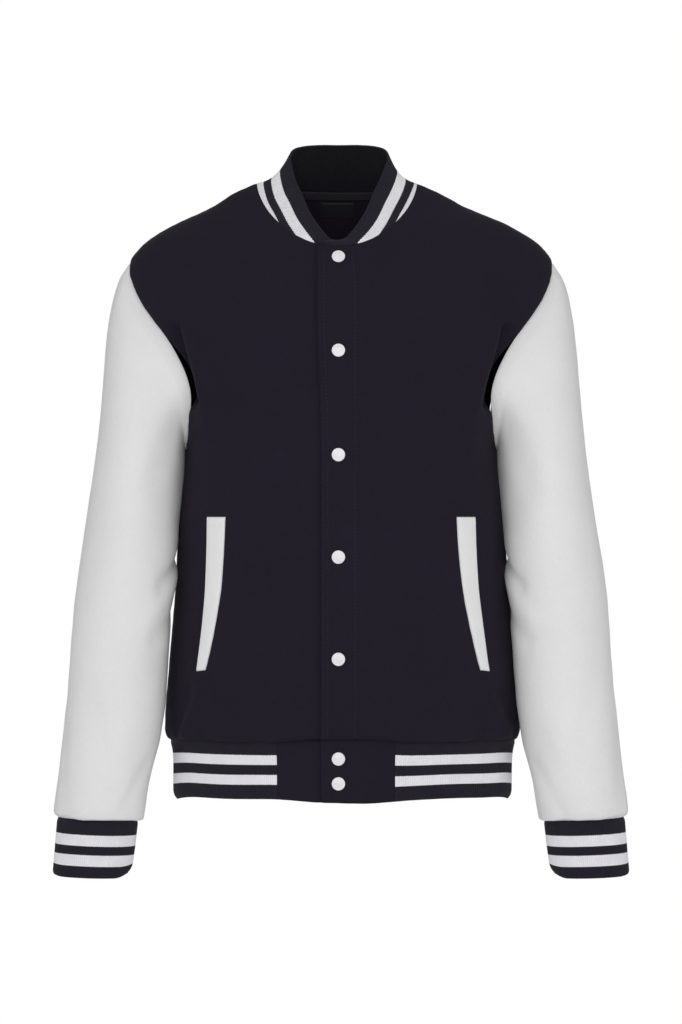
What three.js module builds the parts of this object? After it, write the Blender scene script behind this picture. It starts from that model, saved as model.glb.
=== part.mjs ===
// Varsity jacket, hollow as worn: a fleece body with a snap front and two welt pockets, set-in sleeves,
// and a ribbed stand collar, ribbed cuffs and a ribbed waistband with plain ends.
// Millimetres. +X is the wearer's left, -Y the front, +Z up. The origin is in the middle between the
// shoulders, level with the neck ends of the shoulder seams. The left front lies over the right one.
import * as THREE from 'three';
import { mergeVertices } from 'three/addons/utils/BufferGeometryUtils.js';

// Cloth, seams and ribs
const FLEECE = 2;
const RIB_WALL = 2.4;
const RIB_RAISE = 0.8;
const RIB_PITCH = 4;
const SEAM = 0.3;
const PIPING = 2;

// Front closure: the left front's edge and the right front's hidden edge, and how far the left one is raised
const LEFT_EDGE = -21.7;
const RIGHT_EDGE = 17;
const LIFT = 3.8;
const LIFT_ENDS = 24;
const LIFT_FADES = 26;

// Neck and shoulder: the shoulder seam runs from the neck point out and down to the shoulder point
const NECK_HALF = 95.8;
const NECK_TOP = 4.5;
const NECK_FRONT_DROP = 72.5;
const NECK_BACK_DROP = 9.5;
const SHOULDER_Z = -81;
const UNDERARM_Z = -292;

// Waistband: a rib that starts at the left end panel, goes round the back and stops at the right one
const BAND_TOP = -616.3;
const HEM = -681;
const BAND = { side: 189.5, front: 107.5, back: 101.5, square: 2.4 };
const BAND_LEFT_END = 60;
const BAND_RIGHT_END = -71;

// Snaps: cap size, place across the front, and heights on the front and on the waistband
const SNAP = { radius: 7.75, rise: 2.4, edge: 0.6, sides: 14 };
const SNAP_X = -2.8;
const SNAP_HEIGHTS = [-81, -185, -298.5, -409.5, -520.5, -629.5, -656.5];

// Number of grid steps in each piece, and of the fine steps that lengths are measured with
const FRONT_COLUMNS = 14;
const BACK_COLUMNS = 10;
const ARMHOLE_STEPS = 12;
const NECK_STEPS = 7;
const BAND_END_STEPS = 7;
const WELT_ROWS = 10;
const FINE_STEPS = 600;
// Share of the way from the underarm's height to the neckline at each row of the chest
const CHEST_SHARES = { front: [0.21, 0.42, 0.62, 0.82], back: [0.28, 0.53, 0.74, 0.9] };
const CHEST_STEPS = ARMHOLE_STEPS - NECK_STEPS;

// Level sections of the body: half width at the side seams, depth ahead of and behind them, and the
// power of the section's curve, where 2 is an ellipse and more is squarer
const BODY = [
  { z: -616, side: 190.5, front: 108, back: 102, square: 2.4 },
  { z: -610, side: 197, front: 115, back: 108.5, square: 2.4 },
  { z: -601, side: 200.5, front: 118.5, back: 112, square: 2.4 },
  { z: -584, side: 197.5, front: 119, back: 112, square: 2.4 },
  { z: -506, side: 190, front: 119.5, back: 109.5, square: 2.4 },
  { z: -450, side: 184.5, front: 121, back: 110, square: 2.4 },
  { z: -394, side: 180.5, front: 122.5, back: 112, square: 2.4 },
  { z: -350, side: 176.5, front: 123.5, back: 114.5, square: 2.4 },
  { z: -292, side: 173, front: 124, back: 117, square: 2.4 },
  { z: -250, side: 184, front: 122, back: 117.5, square: 2.4 },
  { z: -215, side: 200, front: 119, back: 117, square: 2.4 },
  { z: -170, side: 222, front: 111.5, back: 114, square: 2.3 },
  { z: -125, side: 238, front: 99.5, back: 108, square: 2.2 },
  { z: -100, side: 240, front: 91, back: 104, square: 2.1 },
  { z: -81, side: 236, front: 82, back: 98.5, square: 2.05 },
  { z: -62, side: 221, front: 72, back: 92, square: 2 },
  { z: -41, side: 191, front: 58, back: 82, square: 2 },
  { z: -20, side: 145, front: 42, back: 68, square: 2 },
  { z: -5, side: 115, front: 30, back: 56, square: 2 },
  { z: 4.5, side: 95.8, front: 22, back: 30, square: 2 },
  { z: 12, side: 80, front: 14, back: 16, square: 2 },
];

// Armhole: how far it cuts into the front and the back, in quarter turns of the section, at angles from
// the shoulder point (0) to the underarm (180)
const ARMHOLE = [
  { angle: 0, front: 0.25, back: 0.24 },
  { angle: 40, front: 0.28, back: 0.26 },
  { angle: 65, front: 0.335, back: 0.29 },
  { angle: 90, front: 0.4, back: 0.33 },
  { angle: 110, front: 0.41, back: 0.34 },
  { angle: 135, front: 0.37, back: 0.32 },
  { angle: 180, front: 0.28, back: 0.27 },
];

// Heights of the body's grid rows from the waistband to the underarm
const LOWER_ROWS = [-616, -610, -601, -584, -545, -500, -450, -400, -345, UNDERARM_Z];

// Soft folds on the fronts, on the left side of the wearer and mirrored: from one point to another seen
// from the front, half width, and height, which is negative in a trough
const FOLDS = [
  { x1: 186, z1: -168, x2: 152, z2: -262, width: 13, height: -4.5 },
  { x1: 150, z1: -175, x2: 135, z2: -285, width: 20, height: 4 },
];

// Sleeve sections from the armhole to the cuff: outer and inner edge seen from the front, depth of the
// middle, half depth, and how much of the armhole's own shape is left
const SLEEVE = [
  { outX: 236, outZ: -81, inX: 173, inZ: -292, y: -7, deep: 69, cap: 1 },
  { outX: 247, outZ: -100, inX: 174.8, inZ: -290.2, y: -7, deep: 71, cap: 0.72 },
  { outX: 255.5, outZ: -126, inX: 176.6, inZ: -297, y: -8, deep: 71, cap: 0.42 },
  { outX: 261.5, outZ: -163, inX: 177, inZ: -312, y: -10, deep: 70, cap: 0.2 },
  { outX: 266, outZ: -208, inX: 177.6, inZ: -331, y: -13, deep: 68, cap: 0.06 },
  { outX: 270, outZ: -258, inX: 178.6, inZ: -353, y: -17, deep: 66, cap: 0 },
  { outX: 274, outZ: -312, inX: 180.4, inZ: -377, y: -22, deep: 64, cap: 0 },
  { outX: 279.5, outZ: -364, inX: 183, inZ: -402, y: -27, deep: 62, cap: 0 },
  { outX: 286.5, outZ: -413, inX: 185.8, inZ: -434, y: -32, deep: 60, cap: 0 },
  { outX: 293.5, outZ: -461, inX: 190, inZ: -476, y: -36, deep: 57, cap: 0 },
  { outX: 299.5, outZ: -512, inX: 194.5, inZ: -526, y: -39, deep: 54, cap: 0 },
  { outX: 304, outZ: -560, inX: 199, inZ: -573, y: -42, deep: 51, cap: 0 },
  { outX: 309, outZ: -605, inX: 204, inZ: -617, y: -45, deep: 48, cap: 0 },
  { outX: 314, outZ: -650, inX: 211, inZ: -660, y: -47, deep: 45, cap: 0 },
  { outX: 319.5, outZ: -688, inX: 220, inZ: -697, y: -49, deep: 42, cap: 0 },
  { outX: 320.5, outZ: -696, inX: 222, inZ: -702.5, y: -49, deep: 40, cap: 0 },
  { outX: 316.7, outZ: -702, inX: 228, inZ: -705.5, y: -49, deep: 33, cap: 0 },
];

// Cuff: its top and bottom section, in the same terms
const CUFF = [
  { outX: 316.7, outZ: -702.4, inX: 228, inZ: -705.9, y: -49, deep: 33 },
  { outX: 320.9, outZ: -766, inX: 237, inZ: -769, y: -50, deep: 31.5 },
];

// Upper edge of the collar from the middle of the back round the left side to the front edge. Lower down,
// both sides move towards the wearer's right by the shift, none above one height and all below the other,
// and the right side ends further back than the lapping left one.
const COLLAR_EDGE = [
  { x: 0, y: 44.5, z: 55 },
  { x: 22, y: 42.5, z: 55 },
  { x: 42, y: 35, z: 53 },
  { x: 54, y: 20, z: 48 },
  { x: 57, y: 3, z: 38 },
  { x: 52.5, y: -10.5, z: 24 },
  { x: 46, y: -22, z: 8 },
  { x: 39.5, y: -33, z: -6.5 },
  { x: 31.5, y: -46, z: -26 },
  { x: 23, y: -57, z: -40.5 },
  { x: 14.8, y: -66, z: -52 },
  { x: 6.7, y: -71.5, z: -60 },
  { x: 0, y: -73, z: -61 },
];
const COLLAR_SIDE = 4;
const COLLAR_ROWS = 2;
const COLLAR_SHIFT = { by: -4, above: 38, below: 8 };
const COLLAR_RIGHT_END = 13;
// A point in the middle of the neck hole, which the collar's seam gap opens towards
const NECK_MIDDLE = { x: 0, y: -8, z: -30 };

// Pocket welt on the front, seen from the front: height, edge towards the closure and edge towards the side
const WELT = [
  { z: -366, near: 126.5, far: 146 },
  { z: -400, near: 128, far: 146.5 },
  { z: -440, near: 131, far: 148.3 },
  { z: -480, near: 137, far: 152 },
  { z: -510, near: 143, far: 155.2 },
  { z: -536, near: 149.5, far: 158.5 },
];
const WELT_GAP = 0.5;

// Neck tape and blank label on the inside of the back
const TAPE = { half: 66, below: 4, drop: 10, thick: 1, steps: 12 };
const LABEL = { half: 19, top: -21, drop: 17, thick: 1, steps: 4 };
const INSIDE_GAP = 0.5;

const NAVY = { color: 0x23202c, roughness: 0.92, metalness: 0 };
const WHITE = { color: 0xd9d8dc, roughness: 0.9, metalness: 0 };
const STRIPED = { color: 0x2a2735, roughness: 0.9, metalness: 0 };
const SNAP_WHITE = { color: 0xe6e3e8, roughness: 0.45, metalness: 0 };

const vector = (x, y, z) => new THREE.Vector3(x, y, z);
const along = (point, way, distance) => point.clone().addScaledVector(way, distance);
const mirrored = (p) => vector(-p.x, p.y, p.z);

// A smooth line through a table, cubic between two rows and never beyond their values.
function smooth(rows, key, column) {
  const at = rows.map((row) => row[key]);
  const value = rows.map((row) => row[column]);
  const step = at.slice(1).map((next, i) => (value[i + 1] - value[i]) / (next - at[i]));
  const slope = value.map((_, i) => {
    if (i === 0) return step[0];
    if (i === value.length - 1) return step[i - 1];
    const product = step[i - 1] * step[i];
    return product <= 0 ? 0 : 2 * product / (step[i - 1] + step[i]);
  });
  return (t) => {
    let i = 0;
    while (i < at.length - 2 && t > at[i + 1]) i += 1;
    const width = at[i + 1] - at[i];
    const f = Math.min(1, Math.max(0, (t - at[i]) / width));
    const rest = 1 - f;
    return value[i] * rest * rest * (1 + 2 * f) + value[i + 1] * f * f * (3 - 2 * f)
      + width * f * rest * (slope[i] * rest - slope[i + 1] * f);
  };
}

// Points at even distances along a curve that is given as a function of 0 to 1.
function evenly(curve, steps) {
  const fine = FINE_STEPS;
  const points = Array.from({ length: fine + 1 }, (_, i) => curve(i / fine));
  const run = [0];
  for (let i = 1; i <= fine; i += 1) run.push(run[i - 1] + points[i].distanceTo(points[i - 1]));
  const result = [];
  for (let k = 0, i = 1; k <= steps; k += 1) {
    const wanted = run[fine] * k / steps;
    while (i < fine && run[i] < wanted) i += 1;
    result.push((i - 1 + (wanted - run[i - 1]) / (run[i] - run[i - 1])) / fine);
  }
  return result;
}

const bodySize = {};
for (const column of ['side', 'front', 'back', 'square']) bodySize[column] = smooth(BODY, 'z', column);

// One point of a level section and its outward direction. The turn counts quarter turns from the middle
// of the front towards the left side seam at 1, the middle of the back at 2 and the right seam at 3.
function sectionPoint(turn, z, size, growth) {
  const angle = turn * Math.PI / 2;
  const across = Math.sin(angle);
  const ahead = Math.cos(angle);
  const depth = ahead >= 0 ? size.front : size.back;
  const depthGrowth = ahead >= 0 ? growth.front : growth.back;
  const bend = 2 / size.square;
  const x = Math.sign(across) * Math.abs(across) ** bend;
  const y = -Math.sign(ahead) * Math.abs(ahead) ** bend;
  const steep = size.square - 1;
  const out = vector(
    Math.sign(x) * Math.abs(x) ** steep / size.side,
    Math.sign(y) * Math.abs(y) ** steep / depth,
    -(Math.abs(x) ** size.square * growth.side / size.side
      + Math.abs(y) ** size.square * depthGrowth / depth),
  ).normalize();
  return { point: vector(size.side * x, depth * y, z), out };
}

function foldHeight(x, z) {
  let height = 0;
  for (const fold of FOLDS) {
    const run = vector(fold.x2 - fold.x1, 0, fold.z2 - fold.z1);
    const from = vector(Math.abs(x) - fold.x1, 0, z - fold.z1);
    const share = Math.min(1, Math.max(0, from.dot(run) / run.lengthSq()));
    const away = from.addScaledVector(run, -share).length() / fold.width;
    height += fold.height * Math.exp(-away * away);
  }
  return height;
}

// The body's outer face, with its folds on the fronts.
function bodyPoint(turn, z) {
  const size = {};
  const growth = {};
  for (const column of Object.keys(bodySize)) {
    size[column] = bodySize[column](z);
    growth[column] = bodySize[column](z + 0.5) - bodySize[column](z - 0.5);
  }
  const found = sectionPoint(turn, z, size, growth);
  if (Math.cos(turn * Math.PI / 2) > 0) {
    found.point.addScaledVector(found.out, foldHeight(found.point.x, z));
  }
  return found;
}

// The turn on the front half of the body at which a section is x wide.
function turnAt(x, z, size = bodySize) {
  const share = Math.min(1, Math.abs(x) / size.side(z));
  return Math.sign(x) * Math.asin(share ** (size.square(z) / 2)) * 2 / Math.PI;
}

// A closed wall from triangles that are given by their corners.
function solid(corners) {
  const geometry = new THREE.BufferGeometry();
  const numbers = new Float32Array(corners.flatMap((p) => [p.x, p.y, p.z]));
  geometry.setAttribute('position', new THREE.BufferAttribute(numbers, 3));
  const merged = mergeVertices(geometry, 1e-3);
  const index = merged.index.array;
  const place = merged.attributes.position;
  const [a, b, c] = [vector(), vector(), vector()];
  let volume = 0;
  const kept = [];
  for (let i = 0; i < index.length; i += 3) {
    const [p, q, r] = [index[i], index[i + 1], index[i + 2]];
    if (p === q || q === r || r === p) continue;
    volume += a.fromBufferAttribute(place, p).dot(b.fromBufferAttribute(place, q)
      .cross(c.fromBufferAttribute(place, r)));
    kept.push(p, q, r);
  }
  merged.setIndex(volume > 0 ? kept : kept.reverse());
  merged.computeVertexNormals();
  return merged;
}

const quad = (a, b, c, d) => [a, b, c, a, c, d];

function sheet(grid) {
  const corners = [];
  for (let i = 0; i + 1 < grid.length; i += 1) {
    for (let j = 0; j + 1 < grid[i].length; j += 1) {
      corners.push(...quad(grid[i][j], grid[i][j + 1], grid[i + 1][j + 1], grid[i + 1][j]));
    }
  }
  return corners;
}

function triangles(corners) {
  return Array.from({ length: corners.length / 3 }, (_, i) => corners.slice(3 * i, 3 * i + 3));
}

const turnedOver = (corners) => triangles(corners).flatMap(([a, b, c]) => [a, c, b]);

// The strip between two lines that need not have the same number of points.
function bridge(first, second) {
  const corners = [];
  let i = 0;
  let j = 0;
  while (i < first.length - 1 || j < second.length - 1) {
    const nextFirst = (i + 1) / (first.length - 1);
    const nextSecond = (j + 1) / (second.length - 1);
    if (j === second.length - 1 || (i < first.length - 1 && nextFirst <= nextSecond)) {
      corners.push(first[i], first[i + 1], second[j]);
      i += 1;
    } else {
      corners.push(first[i], second[j + 1], second[j]);
      j += 1;
    }
  }
  return corners;
}

const column = (grid, j) => grid.map((row) => row.at(j));
const layer = (faces, k) => faces.map((row) => row.map((face) => face[k]));

// A wall between an outer and an inner grid with the same rows. Its two ends are closed, and its two sides
// as well unless it is a tube or a side is left to a second half.
function wall(outer, inner, { tube = false, sideFrom = 0 } = {}) {
  const corners = [...sheet(outer), ...turnedOver(sheet(inner))];
  corners.push(...bridge(inner[0], outer[0]), ...bridge(outer.at(-1), inner.at(-1)));
  if (!tube) {
    corners.push(...bridge(column(outer, 0).slice(sideFrom), column(inner, 0).slice(sideFrom)));
    corners.push(...bridge(column(inner, -1), column(outer, -1)));
  }
  return corners;
}

// Half of the armhole in the body's terms, from the underarm up to the shoulder point.
function armholePath(half) {
  const notch = smooth(ARMHOLE, 'angle', half);
  const middle = (SHOULDER_Z + UNDERARM_Z) / 2;
  return Array.from({ length: ARMHOLE_STEPS + 1 }, (_, k) => {
    const degrees = 180 - 180 * k / ARMHOLE_STEPS;
    const angle = degrees * Math.PI / 180;
    const cut = notch(degrees) * Math.max(0, Math.sin(angle));
    const z = middle + (SHOULDER_Z - middle) * Math.cos(angle);
    return { turn: half === 'front' ? 1 - cut : 1 + cut, z };
  });
}

// The neckline in the body's terms from an end near the middle up to the neck point.
function neckPath(half, startX) {
  const drop = half === 'front' ? NECK_FRONT_DROP : NECK_BACK_DROP;
  const start = Math.acos(startX / NECK_HALF);
  const place = (f) => {
    const angle = start * (1 - f);
    const z = NECK_TOP - drop * Math.sin(angle);
    const turn = f === 1 ? 1 : turnAt(NECK_HALF * Math.cos(angle), z);
    return { turn: half === 'front' ? turn : 2 - turn, z };
  };
  const line = (f) => bodyPoint(place(f).turn, place(f).z).point;
  return evenly(line, NECK_STEPS).map(place);
}

// The grid of a front panel or of half the back in the body's terms. Each row runs straight from the
// middle of the panel to its side seam or armhole; the last row is the shoulder seam.
function panelPlaces(half, middleX, columns) {
  const neck = neckPath(half, middleX);
  const middle = LOWER_ROWS.slice();
  middle.push(...CHEST_SHARES[half].map((share) => UNDERARM_Z + (neck[0].z - UNDERARM_Z) * share));
  const near = middle.map((z) => ({ turn: half === 'front' ? turnAt(middleX, z) : 2, z })).concat(neck);
  const far = LOWER_ROWS.slice(0, -1).map((z) => ({ turn: 1, z })).concat(armholePath(half));
  return near.map((start, i) => Array.from({ length: columns + 1 }, (_, j) => ({
    turn: start.turn + (far[i].turn - start.turn) * j / columns,
    z: start.z + (far[i].z - start.z) * j / columns,
  })));
}

const level = (out) => vector(out.x, out.y, 0).normalize();
const raised = (x) => LIFT * (1 - THREE.MathUtils.smoothstep(x, LIFT_ENDS, LIFT_ENDS + LIFT_FADES));

// Outer and inner grid of a panel. The points on the side and shoulder seams stand back by half a seam.
function panel(half, middleX, columns, lift = () => 0) {
  const back = half === 'front' ? -SEAM / 2 : SEAM / 2;
  const faces = panelPlaces(half, middleX, columns).map((row) => row.map(({ turn, z }) => {
    const { point, out } = bodyPoint(turn, z);
    const top = along(point, level(out), lift(point.x));
    if (turn === 1) top.y += back;
    return [top, along(top, out, -FLEECE)];
  }));
  return { outer: layer(faces, 0), inner: layer(faces, 1) };
}

const reflect = ({ outer, inner }) => ({
  outer: outer.map((row) => row.map(mirrored)),
  inner: inner.map((row) => row.map(mirrored)),
});

const frontLeft = panel('front', LEFT_EDGE, FRONT_COLUMNS, raised);
const frontRight = reflect(panel('front', -RIGHT_EDGE, FRONT_COLUMNS));
const backLeft = panel('back', 0, BACK_COLUMNS);
const NECK_ROW = LOWER_ROWS.length - 1 + CHEST_STEPS;

// The point of a panel's grid that lies at a place seen from the front, and the outward direction there.
function faceAt(grid, x, z) {
  const inPlane = (p) => vector(p.x, 0, p.z);
  for (const [a, b, c] of triangles(sheet(grid))) {
    const share = THREE.Triangle.getBarycoord(vector(x, 0, z), inPlane(a), inPlane(b), inPlane(c), vector());
    if (share && Math.min(share.x, share.y, share.z) >= -1e-6) {
      const point = vector(x, a.y * share.x + b.y * share.y + c.y * share.z, z);
      const out = b.clone().sub(a).cross(c.clone().sub(a)).normalize();
      return { point, out: out.y * point.y < 0 ? out.negate() : out };
    }
  }
  throw new Error(`no cloth at ${x}, ${z}`);
}

function backSolid() {
  const right = reflect(backLeft);
  const corners = wall(backLeft.outer, backLeft.inner, { sideFrom: NECK_ROW });
  const other = wall(right.outer, right.inner, { sideFrom: NECK_ROW });
  return solid([...corners, ...turnedOver(other)]);
}

// Direction from a seam point towards the middle of a hole, kept in the cloth's face.
function intoHole(point, out, middle) {
  const way = middle.clone().sub(point);
  return way.addScaledVector(out, -way.dot(out)).normalize();
}

// Outward direction at each point of a grid that closes on itself.
function tubeDirections(grid, centres) {
  const count = grid[0].length;
  return grid.map((row, i) => row.map((point, j) => {
    const down = grid[Math.min(i + 1, grid.length - 1)][j].clone().sub(grid[Math.max(i - 1, 0)][j]);
    const round = row[(j + 1) % count].clone().sub(row[(j + count - 1) % count]);
    const out = down.cross(round).normalize();
    return out.dot(point.clone().sub(centres[i])) < 0 ? out.negate() : out;
  }));
}

const ringOf = (section, angle) => vector(
  (section.outX + section.inX) / 2 + (section.outX - section.inX) / 2 * Math.cos(angle),
  section.y - section.deep * Math.sin(angle),
  (section.outZ + section.inZ) / 2 + (section.outZ - section.inZ) / 2 * Math.cos(angle),
);

const middleOf = (section) => vector(
  (section.outX + section.inX) / 2,
  section.y,
  (section.outZ + section.inZ) / 2,
);

// The armhole's edge on the body, from the shoulder point down the front, under the arm and up the back.
function armholeEdge() {
  const rows = [];
  for (let k = ARMHOLE_STEPS; k >= 0; k -= 1) rows.push([frontLeft, LOWER_ROWS.length - 1 + k]);
  for (let k = 1; k < ARMHOLE_STEPS; k += 1) rows.push([backLeft, LOWER_ROWS.length - 1 + k]);
  return rows.map(([piece, row]) => {
    const outer = piece.outer[row].at(-1);
    const inner = piece.inner[row].at(-1);
    return { outer, inner, out: outer.clone().sub(inner).normalize() };
  });
}

function sleeve() {
  const edge = armholeEdge();
  const angles = edge.map((_, j) => 2 * Math.PI * j / edge.length);
  const hole = middleOf(SLEEVE[0]);
  const start = edge.map(({ outer, out }) => along(outer, intoHole(outer, out, hole), SEAM));
  const outer = SLEEVE.map((section, i) => angles.map((angle, j) => {
    if (i === 0) return start[j];
    const own = start[j].clone().sub(ringOf(SLEEVE[0], angle));
    return along(ringOf(section, angle), own, section.cap);
  }));
  const directions = tubeDirections(outer, SLEEVE.map(middleOf));
  directions[0] = edge.map((place) => place.out);
  const inner = outer.map((row, i) => row.map((point, j) => along(point, directions[i][j], -FLEECE)));
  const closed = (grid) => grid.map((row) => [...row, row[0]]);
  return { outer: closed(outer), inner: closed(inner) };
}

// A ribbed wall: face(u, v) gives a point of the groove and its outward direction. The ridges are raised
// on the outer points only, and the plain inside has one point for every few ribs.
function ribbedWall(face, ribs, rows, { tube = false, plainEvery = 3 } = {}) {
  const outer = [];
  const inner = [];
  const plain = Math.round(ribs / plainEvery);
  for (let i = 0; i <= rows; i += 1) {
    const v = i / rows;
    outer.push(Array.from({ length: 2 * ribs + 1 }, (_, j) => {
      const { point, out } = face(j / (2 * ribs), v);
      return along(point, out, j % 2 === 1 ? RIB_RAISE : 0);
    }));
    inner.push(Array.from({ length: plain + 1 }, (_, j) => {
      const { point, out } = face(j / plain, v);
      return along(point, out, -RIB_WALL);
    }));
  }
  return solid(wall(outer, inner, { tube }));
}

function cuff() {
  const between = {};
  const rows = CUFF.map((section, i) => ({ ...section, step: i / (CUFF.length - 1) }));
  for (const name of Object.keys(CUFF[0])) between[name] = smooth(rows, 'step', name);
  const sectionAt = (v) => Object.fromEntries(Object.keys(between).map((name) => [name, between[name](v)]));
  const top = sectionAt(0);
  const fine = FINE_STEPS;
  const round = evenly((f) => ringOf(top, 2 * Math.PI * f), fine);
  const girth = Math.PI * ((top.outX - top.inX) / 2 + top.deep);
  const ribs = 3 * Math.round(girth / RIB_PITCH / 3);
  const face = (u, v) => {
    const i = Math.min(fine - 1, Math.floor(u * fine));
    const angle = u === 1 ? 0 : 2 * Math.PI * (round[i] + (round[i + 1] - round[i]) * (u * fine - i));
    const section = sectionAt(v);
    const half = (section.outX - section.inX) / 2;
    const out = vector(Math.cos(angle) / half, -Math.sin(angle) / section.deep, 0).normalize();
    return { point: ringOf(section, angle), out };
  };
  return ribbedWall(face, ribs, CUFF.length - 1, { tube: true });
}

function bandPoint(turn, z) {
  const none = { side: 0, front: 0, back: 0, square: 0 };
  return sectionPoint(turn, z, BAND, none);
}

const bandTurn = (x) => turnAt(x, 0, { side: () => BAND.side, square: () => BAND.square });

function waistbandRib() {
  const start = bandTurn(BAND_LEFT_END + SEAM / 2);
  const end = 4 + bandTurn(BAND_RIGHT_END - SEAM / 2);
  const turnOf = (f) => start + (end - start) * f;
  const fine = FINE_STEPS;
  const round = evenly((f) => bandPoint(turnOf(f), 0).point, fine);
  let length = 0;
  for (let i = 0; i < fine; i += 1) {
    length += bandPoint(turnOf(round[i]), 0).point.distanceTo(bandPoint(turnOf(round[i + 1]), 0).point);
  }
  const ribs = 3 * Math.round(length / RIB_PITCH / 3);
  const face = (u, v) => {
    const i = Math.min(fine - 1, Math.floor(u * fine));
    const f = round[i] + (round[i + 1] - round[i]) * (u * fine - i);
    return bandPoint(turnOf(f), BAND_TOP + (HEM - BAND_TOP) * v);
  };
  return ribbedWall(face, ribs, 1);
}

// A plain end panel of the waistband between two places seen from the front.
function bandEnd(fromX, toX, lift) {
  const rows = [HEM, BAND_TOP].map((z) => Array.from({ length: BAND_END_STEPS + 1 }, (_, j) => {
    const { point, out } = bandPoint(bandTurn(fromX + (toX - fromX) * j / BAND_END_STEPS), z);
    return [along(point, out, lift(point.x)), along(point, out, lift(point.x) - FLEECE)];
  }));
  return solid(wall(layer(rows, 0), layer(rows, 1)));
}

// The neckline on the body from the right front's edge round the back to the left front's edge.
function necklineEdge() {
  const take = (piece) => piece.outer.slice(NECK_ROW).map((row, k) => {
    const inner = piece.inner[NECK_ROW + k][0];
    return { point: row[0], out: row[0].clone().sub(inner).normalize() };
  });
  const rightBack = take(reflect(backLeft));
  return [
    ...take(frontRight),
    ...rightBack.reverse().slice(1),
    ...take(backLeft).slice(1),
    ...take(frontLeft).reverse().slice(1),
  ];
}

// The collar's upper edge beside each point of the neckline, shared out evenly over each stretch.
function collarEdge() {
  const points = (rows) => rows.map(({ x, y, z }) => vector(x, y, z));
  const curve = (rows) => new THREE.CatmullRomCurve3(points(rows), false, 'centripetal');
  const backHalf = curve(COLLAR_EDGE.slice(0, COLLAR_SIDE + 1)).getSpacedPoints(NECK_STEPS);
  const frontHalf = (endX, layer) => {
    const end = { x: endX, y: COLLAR_EDGE.at(-1).y - layer, z: COLLAR_EDGE.at(-1).z };
    const rows = [...COLLAR_EDGE.slice(COLLAR_SIDE, -1), end];
    return curve(rows).getSpacedPoints(NECK_STEPS);
  };
  const { by, above, below } = COLLAR_SHIFT;
  const shift = (p, sign) => vector(
    p.x * sign + by * THREE.MathUtils.smoothstep(-p.z, -above, -below),
    p.y,
    p.z,
  );
  const right = frontHalf(by - COLLAR_RIGHT_END, 0).map((p) => shift(p, -1));
  const left = frontHalf(LEFT_EDGE - by, LIFT).map((p) => shift(p, 1));
  return [
    ...right.reverse(),
    ...backHalf.map(mirrored).reverse().slice(1),
    ...backHalf.slice(1),
    ...left.slice(1),
  ];
}

// The collar's wall runs straight from the neckline to its upper edge. Its directions are taken over a
// stretch of three steps, so that they turn evenly.
function collar() {
  const base = necklineEdge();
  const edge = collarEdge();
  const hole = vector(NECK_MIDDLE.x, NECK_MIDDLE.y, NECK_MIDDLE.z);
  const low = base.map(({ point, out }) => along(point, intoHole(point, out, hole), SEAM));
  const last = low.length - 1;
  const mix = (line, u) => {
    const i = Math.min(last - 1, Math.floor(u * last + 1e-9));
    return line[i].clone().lerp(line[i + 1], u * last - i);
  };
  const outs = base.map(({ out }) => out);
  const place = (u, v) => mix(low, u).lerp(mix(edge, u), v);
  const reach = 1.5 / last;
  const length = low.slice(1).reduce((sum, point, i) => sum + point.distanceTo(low[i]), 0);
  const perStep = Math.round(length / RIB_PITCH / last);
  const face = (u, v) => {
    const point = place(u, v);
    if (v === 0) return { point, out: mix(outs, u).normalize() };
    const round = place(Math.min(1, u + reach), v).sub(place(Math.max(0, u - reach), v));
    const out = mix(edge, u).sub(mix(low, u)).cross(round).normalize();
    return { point, out: out.dot(vector(point.x, point.y, 0)) < 0 ? out.negate() : out };
  };
  return ribbedWall(face, perStep * last, COLLAR_ROWS, { plainEvery: perStep });
}

// A pocket welt on the left front, mirrored for the right one. It follows the panel's own face.
function welt() {
  const near = smooth([...WELT].reverse(), 'z', 'near');
  const far = smooth([...WELT].reverse(), 'z', 'far');
  const rows = Array.from({ length: WELT_ROWS + 1 }, (_, i) => {
    const z = WELT.at(-1).z + (WELT[0].z - WELT.at(-1).z) * i / WELT_ROWS;
    return [near(z), (near(z) + far(z)) / 2, far(z)].map((x) => {
      const { point } = faceAt(frontLeft.outer, x, z);
      const { out } = bodyPoint(turnAt(x, z), z);
      return [along(point, out, WELT_GAP + PIPING), along(point, out, WELT_GAP)];
    });
  });
  return solid(wall(layer(rows, 0), layer(rows, 1)));
}

// A thin piece on the inside of the back, between two heights at each place across it.
function insidePiece({ half, thick, steps }, topOf, drop) {
  const rows = [0, 1].map((row) => Array.from({ length: steps + 1 }, (_, j) => {
    const x = half * (1 - 2 * j / steps);
    const z = topOf(x) - drop * row;
    const { point, out } = faceAt(backLeft.inner, Math.abs(x), z);
    const faces = [along(point, out, -INSIDE_GAP), along(point, out, -INSIDE_GAP - thick)];
    return x < 0 ? faces.map(mirrored) : faces;
  }));
  return solid(wall(layer(rows, 0), layer(rows, 1)));
}

const neckBackZ = (x) => NECK_TOP - NECK_BACK_DROP * Math.sqrt(1 - (x / NECK_HALF) ** 2);

function snapCap() {
  const { radius, rise, edge } = SNAP;
  const profile = [
    [0, 0],
    [radius - edge, 0],
    [radius, edge],
    [radius - edge, 0.65 * rise],
    [0.7 * radius, 0.88 * rise],
    [0, rise],
  ].map(([r, h]) => new THREE.Vector2(r, h));
  const geometry = new THREE.LatheGeometry(profile, SNAP.sides);
  for (const name of ['normal', 'uv']) geometry.deleteAttribute(name);
  return solid(triangleCorners(mergeVertices(geometry, 1e-3)));
}

function triangleCorners(geometry) {
  const place = geometry.attributes.position;
  return Array.from(geometry.index.array, (i) => vector().fromBufferAttribute(place, i));
}

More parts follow.
